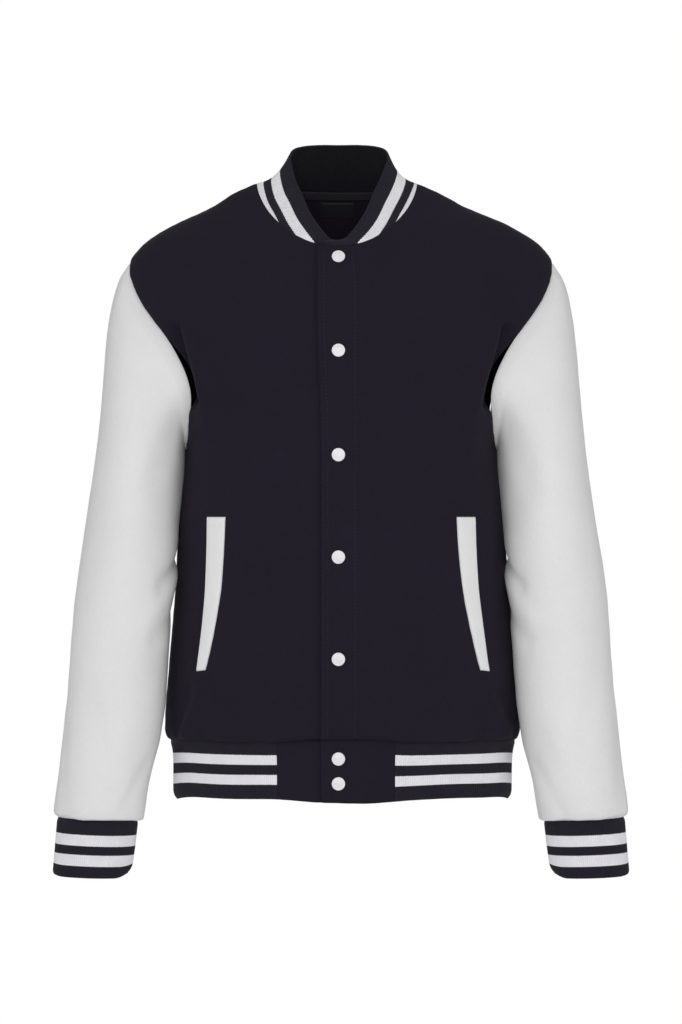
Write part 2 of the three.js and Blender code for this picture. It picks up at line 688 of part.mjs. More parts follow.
// Where a snap sits on the left front or on the waistband's left end, and which way it faces.
function snapPlace(z) {
  const found = z > BAND_TOP ? bodyPoint(turnAt(SNAP_X, z), z) : bandPoint(bandTurn(SNAP_X), z);
  return { point: along(along(found.point, level(found.out), LIFT), found.out, SEAM), out: found.out };
}

const group = new THREE.Group();

function add(name, geometry, finish) {
  const mesh = new THREE.Mesh(geometry, new THREE.MeshStandardMaterial(finish));
  mesh.name = name;
  group.add(mesh);
  return mesh;
}

const sleeveLeft = sleeve();
const sleeveRight = reflect(sleeveLeft);

function mirrorGeometry(geometry) {
  return solid(triangleCorners(geometry).map(mirrored));
}

add('front_right', solid(wall(frontRight.outer, frontRight.inner)), NAVY);
add('front_left', solid(wall(frontLeft.outer, frontLeft.inner)), NAVY);
add('back', backSolid(), NAVY);
add('sleeve_right', solid(wall(sleeveRight.outer, sleeveRight.inner, { tube: true })), WHITE);
add('sleeve_left', solid(wall(sleeveLeft.outer, sleeveLeft.inner, { tube: true })), WHITE);
const leftCuff = cuff();
add('cuff_right', mirrorGeometry(leftCuff), STRIPED);
add('cuff_left', leftCuff, STRIPED);
add('collar', collar(), STRIPED);
add('waistband_rib', waistbandRib(), STRIPED);
add('waistband_end_right', bandEnd(BAND_RIGHT_END + SEAM / 2, RIGHT_EDGE, () => 0), NAVY);
add('waistband_end_left', bandEnd(LEFT_EDGE, BAND_LEFT_END - SEAM / 2, raised), NAVY);
const leftWelt = welt();
add('pocket_welt_right', mirrorGeometry(leftWelt), WHITE);
add('pocket_welt_left', leftWelt, WHITE);
add('neck_tape', insidePiece(TAPE, (x) => neckBackZ(x) - TAPE.below, TAPE.drop), NAVY);
add('neck_label', insidePiece(LABEL, () => LABEL.top, LABEL.drop), NAVY);
SNAP_HEIGHTS.forEach((z, i) => {
  const { point, out } = snapPlace(z);
  const cap = add(`snap_cap_${i + 1}`, snapCap(), SNAP_WHITE);
  cap.position.copy(point);
  cap.quaternion.setFromUnitVectors(vector(0, 1, 0), out);
});

export default group;
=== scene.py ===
"""Varsity jacket, filled out as worn, with nobody in it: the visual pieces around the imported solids.

Lengths inside the shape functions are millimetres, and every mesh is put in as metres. +X is the wearer's
left, -Y the front and +Z up, with the origin between the shoulders, level with the neck ends of the
shoulder seams.
"""

import bpy
import numpy as np
from bpy.props import FloatProperty, FloatVectorProperty, IntProperty, PointerProperty
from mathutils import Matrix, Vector


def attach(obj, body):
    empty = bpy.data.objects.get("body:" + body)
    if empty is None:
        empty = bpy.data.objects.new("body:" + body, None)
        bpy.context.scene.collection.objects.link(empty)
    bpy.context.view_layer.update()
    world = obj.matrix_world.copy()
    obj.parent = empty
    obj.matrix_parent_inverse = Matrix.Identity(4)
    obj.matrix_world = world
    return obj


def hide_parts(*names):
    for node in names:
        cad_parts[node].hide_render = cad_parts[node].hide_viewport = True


bl_info = {
    "name": "Varsity Jacket",
    "version": (1, 0, 0),
    "blender": (4, 5, 0),
    "location": "View3D > Sidebar > Jacket",
    "description": "Builds a hollow fleece varsity jacket with ribbed collar, cuffs and waistband",
    "category": "Add Mesh",
}

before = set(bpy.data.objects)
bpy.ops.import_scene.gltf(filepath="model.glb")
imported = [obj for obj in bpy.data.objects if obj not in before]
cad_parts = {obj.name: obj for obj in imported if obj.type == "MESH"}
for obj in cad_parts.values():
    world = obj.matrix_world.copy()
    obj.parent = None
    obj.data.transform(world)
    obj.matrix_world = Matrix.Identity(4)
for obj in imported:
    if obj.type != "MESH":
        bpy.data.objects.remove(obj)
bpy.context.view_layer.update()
MM = 0.001

# Seams: how far the cloth turns in at one, over what width, and the gap between two pieces
SEAM = 0.3
SEAM_DIP = 1.1
SEAM_REACH = 4.0
DEEPEST = -1.3

# How far a rib runs up inside the cloth that it is sewn to, and on under the waistband's ends
RIB_LAP = 3.0
END_LAP = 1.0

# Front closure: edges of the lapped and the lower front, how far the lapped one stands out, where that
# starts and how fast it fades, and the rows of stitches from the lapped front's edge
LEFT_EDGE = -21.7
RIGHT_EDGE = 17.0
LIFT = 3.8
LIFT_ENDS = 24.0
LIFT_FADES = 26.0
EDGE_STITCH = 7.5
FACING_STITCH = 37.0

# Neck, shoulders and underarm
NECK_HALF = 90.0
NECK_TOP = 8.0
NECK_FRONT_DROP = 76.0
NECK_BACK_DROP = 2.5
NECK_CURVE = 1.25
SHOULDER_Z = -81.0
UNDERARM_Z = -292.0

# Waistband: the body's last height, the band's top and hem, its section, how its sides flare out to the
# seam, the places of its two seams at the front, and how its lower corners round in and up
WAIST_Z = -616.0
BAND_TOP = -616.3
HEM = -681.0
BAND = {"side": 188.6, "front": 107.5, "back": 101.5, "square": 2.4}
BAND_FLARE = (4.5, 9.0)
BAND_LEFT_END = 60.0
BAND_RIGHT_END = -71.0
BAND_CORNER = (6.0, 11.0)

# Snaps, across the front and up it
SNAP_X = -2.8
SNAP_HEIGHTS = (-81.0, -185.0, -298.5, -409.5, -520.5, -629.5, -656.5)

# Level sections of the body: height, half width, depth ahead and behind, power of the section's curve
BODY = np.array([
    (-616, 191.5, 108, 102, 2.4),
    (-610, 196, 115, 108.5, 2.4),
    (-601, 198.6, 118.5, 112, 2.4),
    (-584, 198, 119, 112, 2.4),
    (-545, 195, 119.3, 111, 2.4),
    (-506, 191.9, 119.5, 109.5, 2.4),
    (-450, 187, 121, 110, 2.4),
    (-394, 183.2, 122.5, 112, 2.4),
    (-350, 179.4, 123.5, 114.5, 2.4),
    (-292, 174.2, 124, 117, 2.4),
    (-250, 184, 122, 117.5, 2.4),
    (-215, 200, 119, 117, 2.4),
    (-170, 222, 111.5, 114, 2.3),
    (-125, 238, 99.5, 108, 2.2),
    (-100, 240, 91, 104, 2.1),
    (-81, 236, 82, 98.5, 2.05),
    (-62, 222, 72, 93, 2),
    (-41, 190, 58, 84, 2),
    (-20, 143, 42, 72, 2),
    (-5, 118, 30, 63, 2),
    (4.5, 98, 22, 55, 2),
    (8, 90, 18, 51, 2),
    (13, 79, 13, 46, 2),
])

# Armhole: angle from the shoulder point, and how far it cuts into front and back, in quarter turns
ARMHOLE = np.array([
    (0, 0.24, 0.24),
    (40, 0.252, 0.26),
    (65, 0.312, 0.29),
    (90, 0.38, 0.33),
    (110, 0.403, 0.34),
    (135, 0.35, 0.32),
    (180, 0.28, 0.27),
])
NECK_ROW_ANGLE = 105.0

# Length of the body's section in each quarter turn, for waves that run round it
QUARTER = 190.0
# Length of a sleeve's section in each degree
DEGREE = 0.95

# Share of the way from the underarm's height to the neckline, along the middle of each panel
CHEST_SHARES = {"front": (0, 0.21, 0.42, 0.62, 0.82, 1), "back": (0, 0.28, 0.53, 0.74, 0.9, 1)}

# Folds of the body seen from the front, in real places: from one point to another, half width, height
FRONT_FOLDS = (
    (-184, -160, -163, -238, 7, -11.0),
    (-169, -168, -152, -232, 8, 4.5),
    (-150, -228, -149, -262, 10, 3.0),
    (-128, -196, -122, -300, 24, -1.8),
    (184, -160, 163, -242, 7, -11.0),
    (168, -168, 149, -240, 8, 4.5),
    (144, -236, 140, -296, 12, 3.4),
    (122, -200, 118, -310, 24, -1.8),
    (-154, -548, -176, -606, 7, 3.2),
    (-168, -560, -184, -606, 6, -3.0),
    (-140, -560, -152, -608, 8, -1.8),
    (155, -542, 181, -606, 8, 2.8),
    (172, -560, 190, -604, 6, -2.4),
    (138, -556, 150, -606, 9, -1.6),
    (66, -489, 115, -588, 15, -2.4),
    (84, -480, 134, -572, 14, 1.6),
    (-52, -566, -92, -606, 12, -1.8),
    (-120, -575, -112, -606, 9, 1.5),
    (-40, -300, -96, -350, 30, -1.4),
    (44, -330, 96, -392, 28, -1.4),
)
BACK_FOLDS = (
    (170, -190, 128, -300, 18, -4.5),
    (142, -190, 108, -320, 24, 3.5),
    (-170, -190, -128, -300, 18, -4.5),
    (-142, -190, -108, -320, 24, 3.5),
    (70, -470, 128, -592, 20, -2.6),
    (-76, -480, -120, -590, 20, -2.6),
    (20, -520, 34, -600, 16, 1.8),
    (-34, -530, -22, -600, 15, 1.8),
    (60, -60, 120, -78, 16, -1.4),
    (-60, -60, -120, -78, 16, -1.4),
)

# Sleeve sections: outer and inner edge as the picture shows them at the jacket's middle plane, middle's
# depth, half depth, share of the armhole's own shape that is left
SLEEVE = np.array([
    (236.4, -81, 173.2, -292, -7, 69, 1),
    (248, -99, 173.4, -290.2, -7, 71, 0.72),
    (256, -126, 173.6, -297, -8, 71, 0.42),
    (262, -163, 174.6, -312, -11, 70, 0.2),
    (266, -208, 176.6, -331, -16, 68, 0.06),
    (270.2, -258, 179, -353, -22, 66, 0),
    (276.4, -312, 181.4, -377, -29, 64, 0),
    (284.4, -364, 183, -402, -36, 62, 0),
    (291.8, -413, 185, -434, -41, 60, 0),
    (298.1, -461, 189, -476, -44, 57, 0),
    (302.1, -512, 193.3, -526, -46, 54, 0),
    (305.8, -560, 196.2, -573, -48, 51, 0),
    (310.9, -605, 203, -617, -49, 48, 0),
    (315.6, -650, 214.4, -660, -50, 45, 0),
    (320.6, -686, 220.6, -697, -50, 42, 0),
    (321.4, -694, 222, -702.5, -49.5, 39.5, 0),
    (317.3, -702, 228, -705.5, -49, 33, 0),
])

# Folds of the sleeves: angle round the sleeve (0 outside, 90 front, 180 inside) and distance down from
# the shoulder level at both ends, half width, height
SLEEVE_FOLDS = (
    (196, 405, 140, 440, 9, -3.4),
    (190, 425, 128, 474, 11, 2.0),
    (186, 468, 138, 500, 10, -2.0),
    (60, 560, 96, 640, 14, -1.6),
    (110, 610, 74, 690, 13, 1.6),
    (150, 640, 120, 694, 10, -1.6),
    (20, 600, 40, 692, 12, -1.4),
    (128, 250, 112, 330, 16, -1.8),
    (205, 440, 262, 470, 11, -3.0),
    (212, 478, 250, 520, 12, 2.2),
    (300, 520, 270, 640, 15, -2.0),
    (330, 590, 310, 692, 12, 1.6),
    (232, 600, 250, 694, 11, -1.8),
    (240, 260, 262, 350, 18, -2.2),
)

# Cuff: outer and inner edge as the picture shows them at its top and bottom, middle's depth, half depth,
# and how far its lower corners round in and up, outside and inside
CUFF = np.array([
    (317.3, -702.4, 227.5, -705.9, -49, 33),
    (322.6, -766.5, 236, -769.5, -50, 31.5),
])
CUFF_CORNERS = ((2.2, 5.0, 1.6), (6.0, 13.0, 4.5))

# Upper edge of the collar from the middle of the back round the left side to the front
COLLAR_EDGE = np.array([
    (0, 45, 55),
    (21, 43, 55),
    (40, 35.5, 53),
    (51.5, 20, 48),
    (55, 3, 38),
    (51.5, -10.5, 24),
    (46, -22, 8),
    (39.5, -33, -6.5),
    (31.5, -46, -26),
    (23, -57, -40.5),
    (14.8, -66, -52),
    (6.7, -71.5, -60),
])
COLLAR_SIDE = 4
COLLAR_SHIFT = (-2.0, -4.0)
COLLAR_SHIFT_FROM = (38.0, 8.0)
COLLAR_ENDS = ((13.0, -73.5, -62.5), (-25.5, -77.3, -62.5))
COLLAR_HOLLOW = 6.5

# Pocket welt seen from the front: height, edge towards the closure, edge towards the side
WELT = np.array([
    (-536, 150.5, 160),
    (-510, 144, 156.6),
    (-480, 137.8, 153),
    (-440, 131.5, 149.3),
    (-400, 128.4, 147.7),
    (-366, 126.8, 147),
])

# A welt's rows of stitches as shares of its width, how high its padding stands, how much its bottom end
# slants, and how deep it goes into the front
WELT_STITCHES = (0.14, 0.86)
WELT_HIGH = 2.3
WELT_SLANT = 1.5
WELT_DEPTH = 0.9

# Neck tape and label on the inside of the back
TAPE = {"half": 66.0, "below": 2.0, "drop": 8.5, "thick": 1.0}
LABEL = {"half": 19.0, "top": -8.0, "drop": 16.0, "thick": 1.0}
INSIDE_GAP = 0.5

# Stripes of the ribs in millimetres: where each white one starts and ends, from the collar's upper edge
# and from the seams of the cuffs and the waistband. Places on a rib's inner side are below INSIDE_FROM; the
# rib material paints the places below half of it a dark shade instead of the stripes.
COLLAR_STRIPES = ((18.0, 30.8), (40.3, 54.5))
CUFF_STRIPES = ((16, 28.3), (38.2, 50.6))
BAND_STRIPES = ((13.8, 25.0), (36.8, 48.2))
INSIDE_FROM = -2.0
# How soft a stripe's edge is, as a share of the 100 mm that the colour ramp spans
STRIPE_EDGE = 0.0014

# How the worn jacket departs from its even form: the neck lies to the wearer's right, the sides of the
# hem to the left, and the front of the waistband rises, at its seam and at its hem
NECK_SHIFT = -4.5
HEM_SHIFT = 2.0
SEAM_RISE = (2.8, 4.0)
HEM_RISE = (6.0, -2.5)

# Camera in metres: level, straight ahead and 4 m off, with a picture 1146.9 mm high at the jacket's
# middle plane. The lights aim at the jacket's middle, and each has its place, size and share of the key.
CAMERA_HEIGHT = -0.3606
CAMERA_AWAY = 4.0
PICTURE_HIGH = 1.1469
SENSOR = 36.0
LIGHTS = {
    "key_light": ((0.0, -4.2, 0.9), 3.2, 1.0),
    "left_light": ((3.6, -3.0, 0.4), 2.2, 0.3),
    "right_light": ((-3.6, -3.0, 0.4), 2.2, 0.3),
    "rear_light": ((0.0, 4.2, 1.4), 3.0, 0.8),
}


def unit(vectors):
    """Each vector divided by its own length."""
    return vectors / np.maximum(np.linalg.norm(vectors, axis=-1, keepdims=True), 1e-12)


def smoothstep(value, low, high):
    """3t^2 - 2t^3, where t is the value's share of the way from low to high, held within 0 and 1."""
    t = np.clip((value - low) / (high - low), 0, 1)
    return t * t * (3 - 2 * t)


def smooth(at, value):
    """A line through a table: between two rows the cubic Hermite curve, whose slope at a row is the
    harmonic mean of the two steps beside it, or 0 where they turn back. Ends are held."""
    at, value = np.asarray(at, float), np.asarray(value, float)
    step = np.diff(value) / np.diff(at)
    product, total = step[:-1] * step[1:], step[:-1] + step[1:]
    slope = np.concatenate([
        step[:1],
        np.where(product > 0, 2 * product / np.where(total == 0, 1, total), 0),
        step[-1:],
    ])

    def line(t):
        t = np.clip(t, at[0], at[-1])
        i = np.clip(np.searchsorted(at, t, side="right") - 1, 0, len(at) - 2)
        width = at[i + 1] - at[i]
        f = (t - at[i]) / width
        rest = 1 - f
        return (
            value[i] * rest**2 * (1 + 2 * f)
            + value[i + 1] * f**2 * (3 - 2 * f)
            + width * f * rest * (slope[i] * rest - slope[i + 1] * f)
        )

    return line


def space_curve(points, knots, counts):
    """A Catmull-Rom curve through points in space, timed by the square root of the chords, and sampled
    at even distances between the given knots, with counts[k] steps from knot k to the next."""
    points = np.asarray(points, float)
    chord = np.sqrt(np.linalg.norm(np.diff(points, axis=0), axis=1))
    at = np.concatenate([[0], np.cumsum(chord)])
    step = np.diff(points, axis=0) / chord[:, None]
    before, after = chord[:-1, None], chord[1:, None]
    slope = np.vstack([
        step[:1], (step[:-1] * after + step[1:] * before) / (before + after), step[-1:]
    ])
    fine = np.linspace(0, at[-1], 4000)
    i = np.clip(np.searchsorted(at, fine, side="right") - 1, 0, len(at) - 2)
    width = chord[i][:, None]
    f = (fine - at[i])[:, None] / width
    rest = 1 - f
    line = (
        points[i] * rest**2 * (1 + 2 * f)
        + points[i + 1] * f**2 * (3 - 2 * f)
        + width * f * rest * (slope[i] * rest - slope[i + 1] * f)
    )
    run = np.concatenate([[0], np.cumsum(np.linalg.norm(np.diff(line, axis=0), axis=1))])
    stops = np.interp(at[list(knots)], fine, run)
    wanted = np.concatenate([
        np.linspace(stops[k], stops[k + 1], count + 1)[(k > 0):] for k, count in enumerate(counts)
    ])
    return np.stack([np.interp(wanted, run, line[:, k]) for k in range(3)], axis=1)


def dense_ends(count, strength=0.62):
    """Numbers from 0 to 1 that stand closer at both ends: t - a sin(2 pi t) / (2 pi)."""
    t = np.linspace(0, 1, count + 1)
    return t - strength * np.sin(2 * np.pi * t) / (2 * np.pi)


def ripple(points, wavelength, seed):
    """Uneven waves between about -1 and 1: a sum of five sines that run in different directions through
    space, each about a wavelength long."""
    draw = np.random.default_rng(seed)
    way = unit(draw.normal(size=(5, 3))) * 2 * np.pi / wavelength
    way = way * draw.uniform(0.65, 1.35, size=(5, 1))
    turn = draw.uniform(0, 2 * np.pi, size=5)
    return sum(np.sin(points @ way[k] + turn[k]) for k in range(5)) / 3


def waves(run, lengths, seed):
    """Uneven waves along a line: a sum of sines of the given wavelengths with fixed starts."""
    draw = np.random.default_rng(seed)
    start = draw.uniform(0, 2 * np.pi, size=len(lengths))
    return sum(np.sin(2 * np.pi * run / w + s) for w, s in zip(lengths, start)) / len(lengths)


def near_line(points, line):
    """Distance from each point to a line of straight pieces."""
    best = np.full(points.shape[:-1], 1e9)
    for a, b in zip(line[:-1], line[1:]):
        run = b - a
        share = np.clip((points - a) @ run / max(run @ run, 1e-9), 0, 1)
        best = np.minimum(best, np.linalg.norm(points - a - share[..., None] * run, axis=-1))
    return best


def seam_dip(distance):
    """The cloth turns in at a seam: -dip (1 - distance / reach)^2 within the reach, else 0."""
    return -SEAM_DIP * np.clip(1 - distance / SEAM_REACH, 0, 1) ** 2


def grid_normals(points, closed=False):
    """Unit normals of a grid: the cross product of the steps along its rows and across them. A closed
    grid's first and last row are the same line."""
    across = np.gradient(points, axis=1)
    if closed:
        ring = points[:-1]
        along = np.roll(ring, -1, axis=0) - np.roll(ring, 1, axis=0)
        along = np.concatenate([along, along[:1]])
    else:
        along = np.gradient(points, axis=0)
    return unit(np.cross(along, across))


def in_depth(x, z, y):
    """A place read from the picture at the jacket's middle plane, moved along its line of sight to a
    depth: its distances from the middle and from the camera's height times (1 + y / camera distance)."""
    share = 1 + y * MM / CAMERA_AWAY
    return x * share, CAMERA_HEIGHT / MM + (z - CAMERA_HEIGHT / MM) * share


def settle(points):
    """The worn jacket's small departures from an even form. Near the neck all points move sideways by the
    neck shift, near the sides of the hem by the hem shift. At the front the waistband's seam and hem rise
    by two shares each, one ahead of the sides and one beside the closure; the cloth above follows."""
    x, y, z = points[..., 0], points[..., 1], points[..., 2]
    width = np.abs(x)
    aside = NECK_SHIFT * smoothstep(z, -130, -40) * (1 - smoothstep(width, 110, 200))
    aside = aside + NECK_SHIFT * smoothstep(z, -300, -130) * (1 - smoothstep(z, -130, -40)) * (
        1 - smoothstep(width, 20, 100)) * (x < 0)
    aside = aside + HEM_SHIFT * smoothstep(-z, 320, 560) * smoothstep(width, 60, 150)
    ahead = smoothstep(-y, 0, 65)
    middle = 1 - smoothstep(width, 25, 80)
    seam = SEAM_RISE[0] * ahead + SEAM_RISE[1] * middle * ahead
    hem = HEM_RISE[0] * ahead + HEM_RISE[1] * middle * ahead
    share = np.clip((BAND_TOP - z) / (BAND_TOP - HEM), 0, 1)
    rise = (seam + (hem - seam) * share) * smoothstep(-z, 470, 612)
    return np.stack([x + aside, y, z + rise], axis=-1)


def settled(part):
    """A wall with its points settled."""
    return settle(part[0]), part[1], part[2]


def fold_heights(x, z, folds):
    """Sum of soft ridges and troughs: height times exp(-(distance to the fold's line / width)^2)."""
    total = np.zeros(np.broadcast(x, z).shape)
    for x1, z1, x2, z2, width, height in folds:
        run_x, run_z = x2 - x1, z2 - z1
        share = np.clip(((x - x1) * run_x + (z - z1) * run_z) / (run_x**2 + run_z**2), 0, 1)
        away = np.hypot(x - x1 - run_x * share, z - z1 - run_z * share) / width
        total += height * np.exp(-away**2)
    return total


BODY_SIDE, BODY_FRONT, BODY_BACK, BODY_SQUARE = (smooth(BODY[:, 0], BODY[:, k]) for k in (1, 2, 3, 4))


def section_points(turn, z, side, front, back, square, growth=(0, 0, 0)):
    """A level section at a turn of t quarter turns from the front: x = side sign(s) |s|^(2/n) and
    y = -depth sign(c) |c|^(2/n), with s and c the sine and cosine of t and n the square power. The
    second result is the outward direction, the gradient of |x/side|^n + |y/depth|^n."""
    across, ahead = np.sin(turn * np.pi / 2), np.cos(turn * np.pi / 2)
    depth = np.where(ahead >= 0, front, back)
    x = np.sign(across) * np.abs(across) ** (2 / square)
    y = -np.sign(ahead) * np.abs(ahead) ** (2 / square)
    rise = np.abs(x) ** square * growth[0] / side
    rise = rise + np.abs(y) ** square * np.where(ahead >= 0, growth[1], growth[2]) / depth
    steep = square - 1
    out = np.stack(np.broadcast_arrays(
        np.sign(x) * np.abs(x) ** steep / side, np.sign(y) * np.abs(y) ** steep / depth, -rise
    ), axis=-1)
    return np.stack(np.broadcast_arrays(side * x, depth * y, z), axis=-1), unit(out)


def body_points(turn, z):
    """The body's plain form, and which way it faces, at turns and heights."""
    turn, z = np.broadcast_arrays(np.asarray(turn, float), np.asarray(z, float))
    growth = [line(z + 0.5) - line(z - 0.5) for line in (BODY_SIDE, BODY_FRONT, BODY_BACK)]
    return section_points(
        turn, z, BODY_SIDE(z), BODY_FRONT(z), BODY_BACK(z), BODY_SQUARE(z), growth
    )


def turn_at(x, z):
    """The turn on the front half at which the body's section is x wide."""
    share = np.clip(np.abs(x) / BODY_SIDE(z), 0, 1)
    return np.sign(x) * np.arcsin(share ** (BODY_SQUARE(z) / 2)) * 2 / np.pi


def band_turn(x):
    """The turn on the front half at which the waistband's section is x wide."""
    share = min(1.0, abs(x) / BAND["side"])
    return np.sign(x) * np.arcsin(share ** (BAND["square"] / 2)) * 2 / np.pi


def level(out):
    """The directions without their upward part."""
    return unit(out * (1, 1, 0))


def lap_lift(x):
    """The left front stands out by the lift at the closure, and less from LIFT_ENDS on."""
    return LIFT * (1 - smoothstep(x, LIFT_ENDS, LIFT_ENDS + LIFT_FADES))


def cloth_face(turn, z, half, sign, strength=1.0, gathers=1.0):
    """The outer face of a body panel in the terms of the left half, before it is mirrored for sign -1:
    the plain form plus folds, gathers over the waistband that fade as exp(-height/30), and slight
    unevenness, all along the outward direction. The lowest 12 mm sag over the seam."""
    point, out = body_points(turn, z)
    real_x = sign * point[..., 0]
    folds = FRONT_FOLDS if half == "front" else BACK_FOLDS
    above = np.maximum(z - WAIST_Z, 0)
    run = sign * (turn if half == "front" else 2 - turn) * QUARTER
    gather = waves(run, (23, 31, 44, 67), 5 if half == "front" else 6)
    height = strength * fold_heights(real_x, z, folds)
    height = height + gathers * 1.4 * gather * np.exp(-above / 24) * (1 - np.exp(-above / 4))
    real = point * (sign, 1, 1)
    height = height + 0.7 * ripple(real, 130, 11) + 0.3 * ripple(real, 48, 12)
    height = height * smoothstep(above, 0, 5)
    sag = 2.6 * np.exp(-((above - 8) / 6) ** 2) * (1 - np.exp(-above / 2))
    sag = sag * (1 + 0.3 * gather)
    point = point + out * height[..., None]
    point[..., 2] -= sag
    return point, out


def armhole_place(degrees, half):
    """A point of the armhole's edge in the body's terms: height = middle + half height cos(angle), and
    the turn is cut back from the side by the notch times sin(angle)."""
    notch = smooth(ARMHOLE[:, 0], ARMHOLE[:, 1 if half == "front" else 2])(degrees)
    angle = np.radians(degrees)
    middle = (SHOULDER_Z + UNDERARM_Z) / 2
    cut = notch * np.maximum(0, np.sin(angle))
    return 1 + (cut if half == "back" else -cut), middle + (SHOULDER_Z - middle) * np.cos(angle)


def neck_place(half, start_x, shares):
    """Points of the neckline at even distances from an end near the middle to the neck point:
    x = half width cos(angle), height = top - drop sin(angle)^curve."""
    drop = NECK_FRONT_DROP if half == "front" else NECK_BACK_DROP
    angle = np.arccos(start_x / NECK_HALF) * np.linspace(1, 0, 600)
    z = NECK_TOP - drop * np.sin(angle) ** NECK_CURVE
    turn = turn_at(NECK_HALF * np.cos(angle), z)
    turn = turn if half == "front" else 2 - turn
    line, _ = body_points(turn, z)
    run = np.concatenate([[0], np.cumsum(np.linalg.norm(np.diff(line, axis=0), axis=1))])
    wanted = shares * run[-1]
    return np.interp(wanted, run, turn), np.interp(wanted, run, z)


def panel_places(half, start_x, rows, columns):
    """The grid of a front or half the back in the body's terms. Rows run straight from the middle of the
    panel to its side seam or armhole, up to the shoulder seam as the last row; lower, chest and neck
    rows are counted in rows. The third result is the first row that starts on the neckline."""
    lower, chest, neck = rows
    low_z = WAIST_Z + (UNDERARM_Z - WAIST_Z) * np.linspace(0, 1, lower + 1) ** 1.45
    chest_t = np.linspace(0, 1, chest + 1)[1:]
    neck_t = 1 - (1 - np.linspace(0, 1, neck + 1)) ** 1.25
    neck_turn, neck_z = neck_place(half, start_x, neck_t)
    share = smooth(np.linspace(0, 1, 6), CHEST_SHARES[half])(chest_t)
    near_z = np.concatenate([low_z, UNDERARM_Z + (neck_z[0] - UNDERARM_Z) * share])
    near_turn = turn_at(start_x, near_z) if half == "front" else np.full(len(near_z), 2.0)
    near_turn = np.concatenate([near_turn, neck_turn[1:]])
    near_z = np.concatenate([near_z, neck_z[1:]])
    degrees = np.concatenate([
        180 - (180 - NECK_ROW_ANGLE) * chest_t, NECK_ROW_ANGLE * (1 - neck_t[1:])
    ])
    arm_turn, arm_z = armhole_place(degrees, half)
    far_turn = np.concatenate([np.ones(lower + 1), arm_turn])
    far_z = np.concatenate([low_z, arm_z])
    s = dense_ends(columns)
    turn = near_turn[:, None] + (far_turn - near_turn)[:, None] * s
    z = near_z[:, None] + (far_z - near_z)[:, None] * s
    return turn, z, lower + chest


def rim_points(outer, inner, steps):
    """Points that carry the wall round its near edge in a half circle from the outer face to the inner
    one: centre + half the wall (cos(a) outward + sin(a) past the edge)."""
    centre = (outer[:, 0] + inner[:, 0]) / 2
    across = (outer[:, 0] - inner[:, 0]) / 2
    half = np.linalg.norm(across, axis=1, keepdims=True)
    past = centre - (outer[:, 1] + inner[:, 1]) / 2
    past = unit(past - across * np.sum(past * across, axis=1, keepdims=True) / half**2)
    angle = np.pi * np.arange(1, steps + 1) / (steps + 1)
    return [centre + across * np.cos(a) + past * half * np.sin(a) for a in angle]


def patch(grid):
    """The quads of a grid of point numbers."""
    return np.stack(
        [grid[:-1, :-1], grid[:-1, 1:], grid[1:, 1:], grid[1:, :-1]], axis=-1
    ).reshape(-1, 4)


def wall(outer, inner, places_out, places_in, rim=False, near_from=0, ends=True):
    """A closed wall between an outer and an inner grid of the same size. Its near side, the first
    column, is rounded by three rim points a row or straight, and may start at a later row. The sides
    have the outer face's places. Returns points, quads and a place in the cloth's plane for each point."""
    size = outer.shape[0] * outer.shape[1]
    front = np.arange(size).reshape(outer.shape[:2])
    points = [outer.reshape(-1, 3), inner.reshape(-1, 3)]
    places = [places_out.reshape(-1, 2), places_in.reshape(-1, 2)]
    quads = [patch(front), patch(front + size)[:, ::-1]]

    def strip(lines, line_places):
        """Adds a side that runs through the given lines, with points of its own."""
        first = sum(len(part) for part in points)
        grid = first + np.arange(len(lines) * len(lines[0])).reshape(len(lines), -1)
        points.append(np.concatenate(lines))
        places.append(np.tile(line_places, (len(lines), 1)))
        quads.append(patch(grid))
        return grid

    between = rim_points(outer, inner, 3) if rim else []
    lines = [line[near_from:] for line in (outer[:, 0], *between, inner[:, 0])]
    near = strip(lines, places_out[near_from:, 0])
    strip([outer[::-1, -1], inner[::-1, -1]], places_out[::-1, -1])
    if ends:
        strip([outer[0, ::-1], inner[0, ::-1]], places_out[0, ::-1])
        strip([outer[-1], inner[-1]], places_out[-1])
        if rim:
            a, b, c, d, e = near[:, 0]
            quads.append(np.array([[a, b, d, e], [b, c, d, d]]))
            a, b, c, d, e = near[:, -1]
            quads.append(np.array([[e, d, b, a], [d, d, c, b]]))
    return np.concatenate(points), np.concatenate(quads), np.concatenate(places)


def joined(*parts):
    """Several walls as one: points, quads and places one after another."""
    shift = np.cumsum([0] + [len(part[0]) for part in parts[:-1]])
    return (
        np.concatenate([part[0] for part in parts]),
        np.concatenate([part[1] + s for part, s in zip(parts, shift)]),
        np.concatenate([part[2] for part in parts]),
    )


def mirrored(part):
    """The wall for the other side of the wearer."""
    points, quads, places = part
    return points * (-1, 1, 1), quads[:, ::-1], places


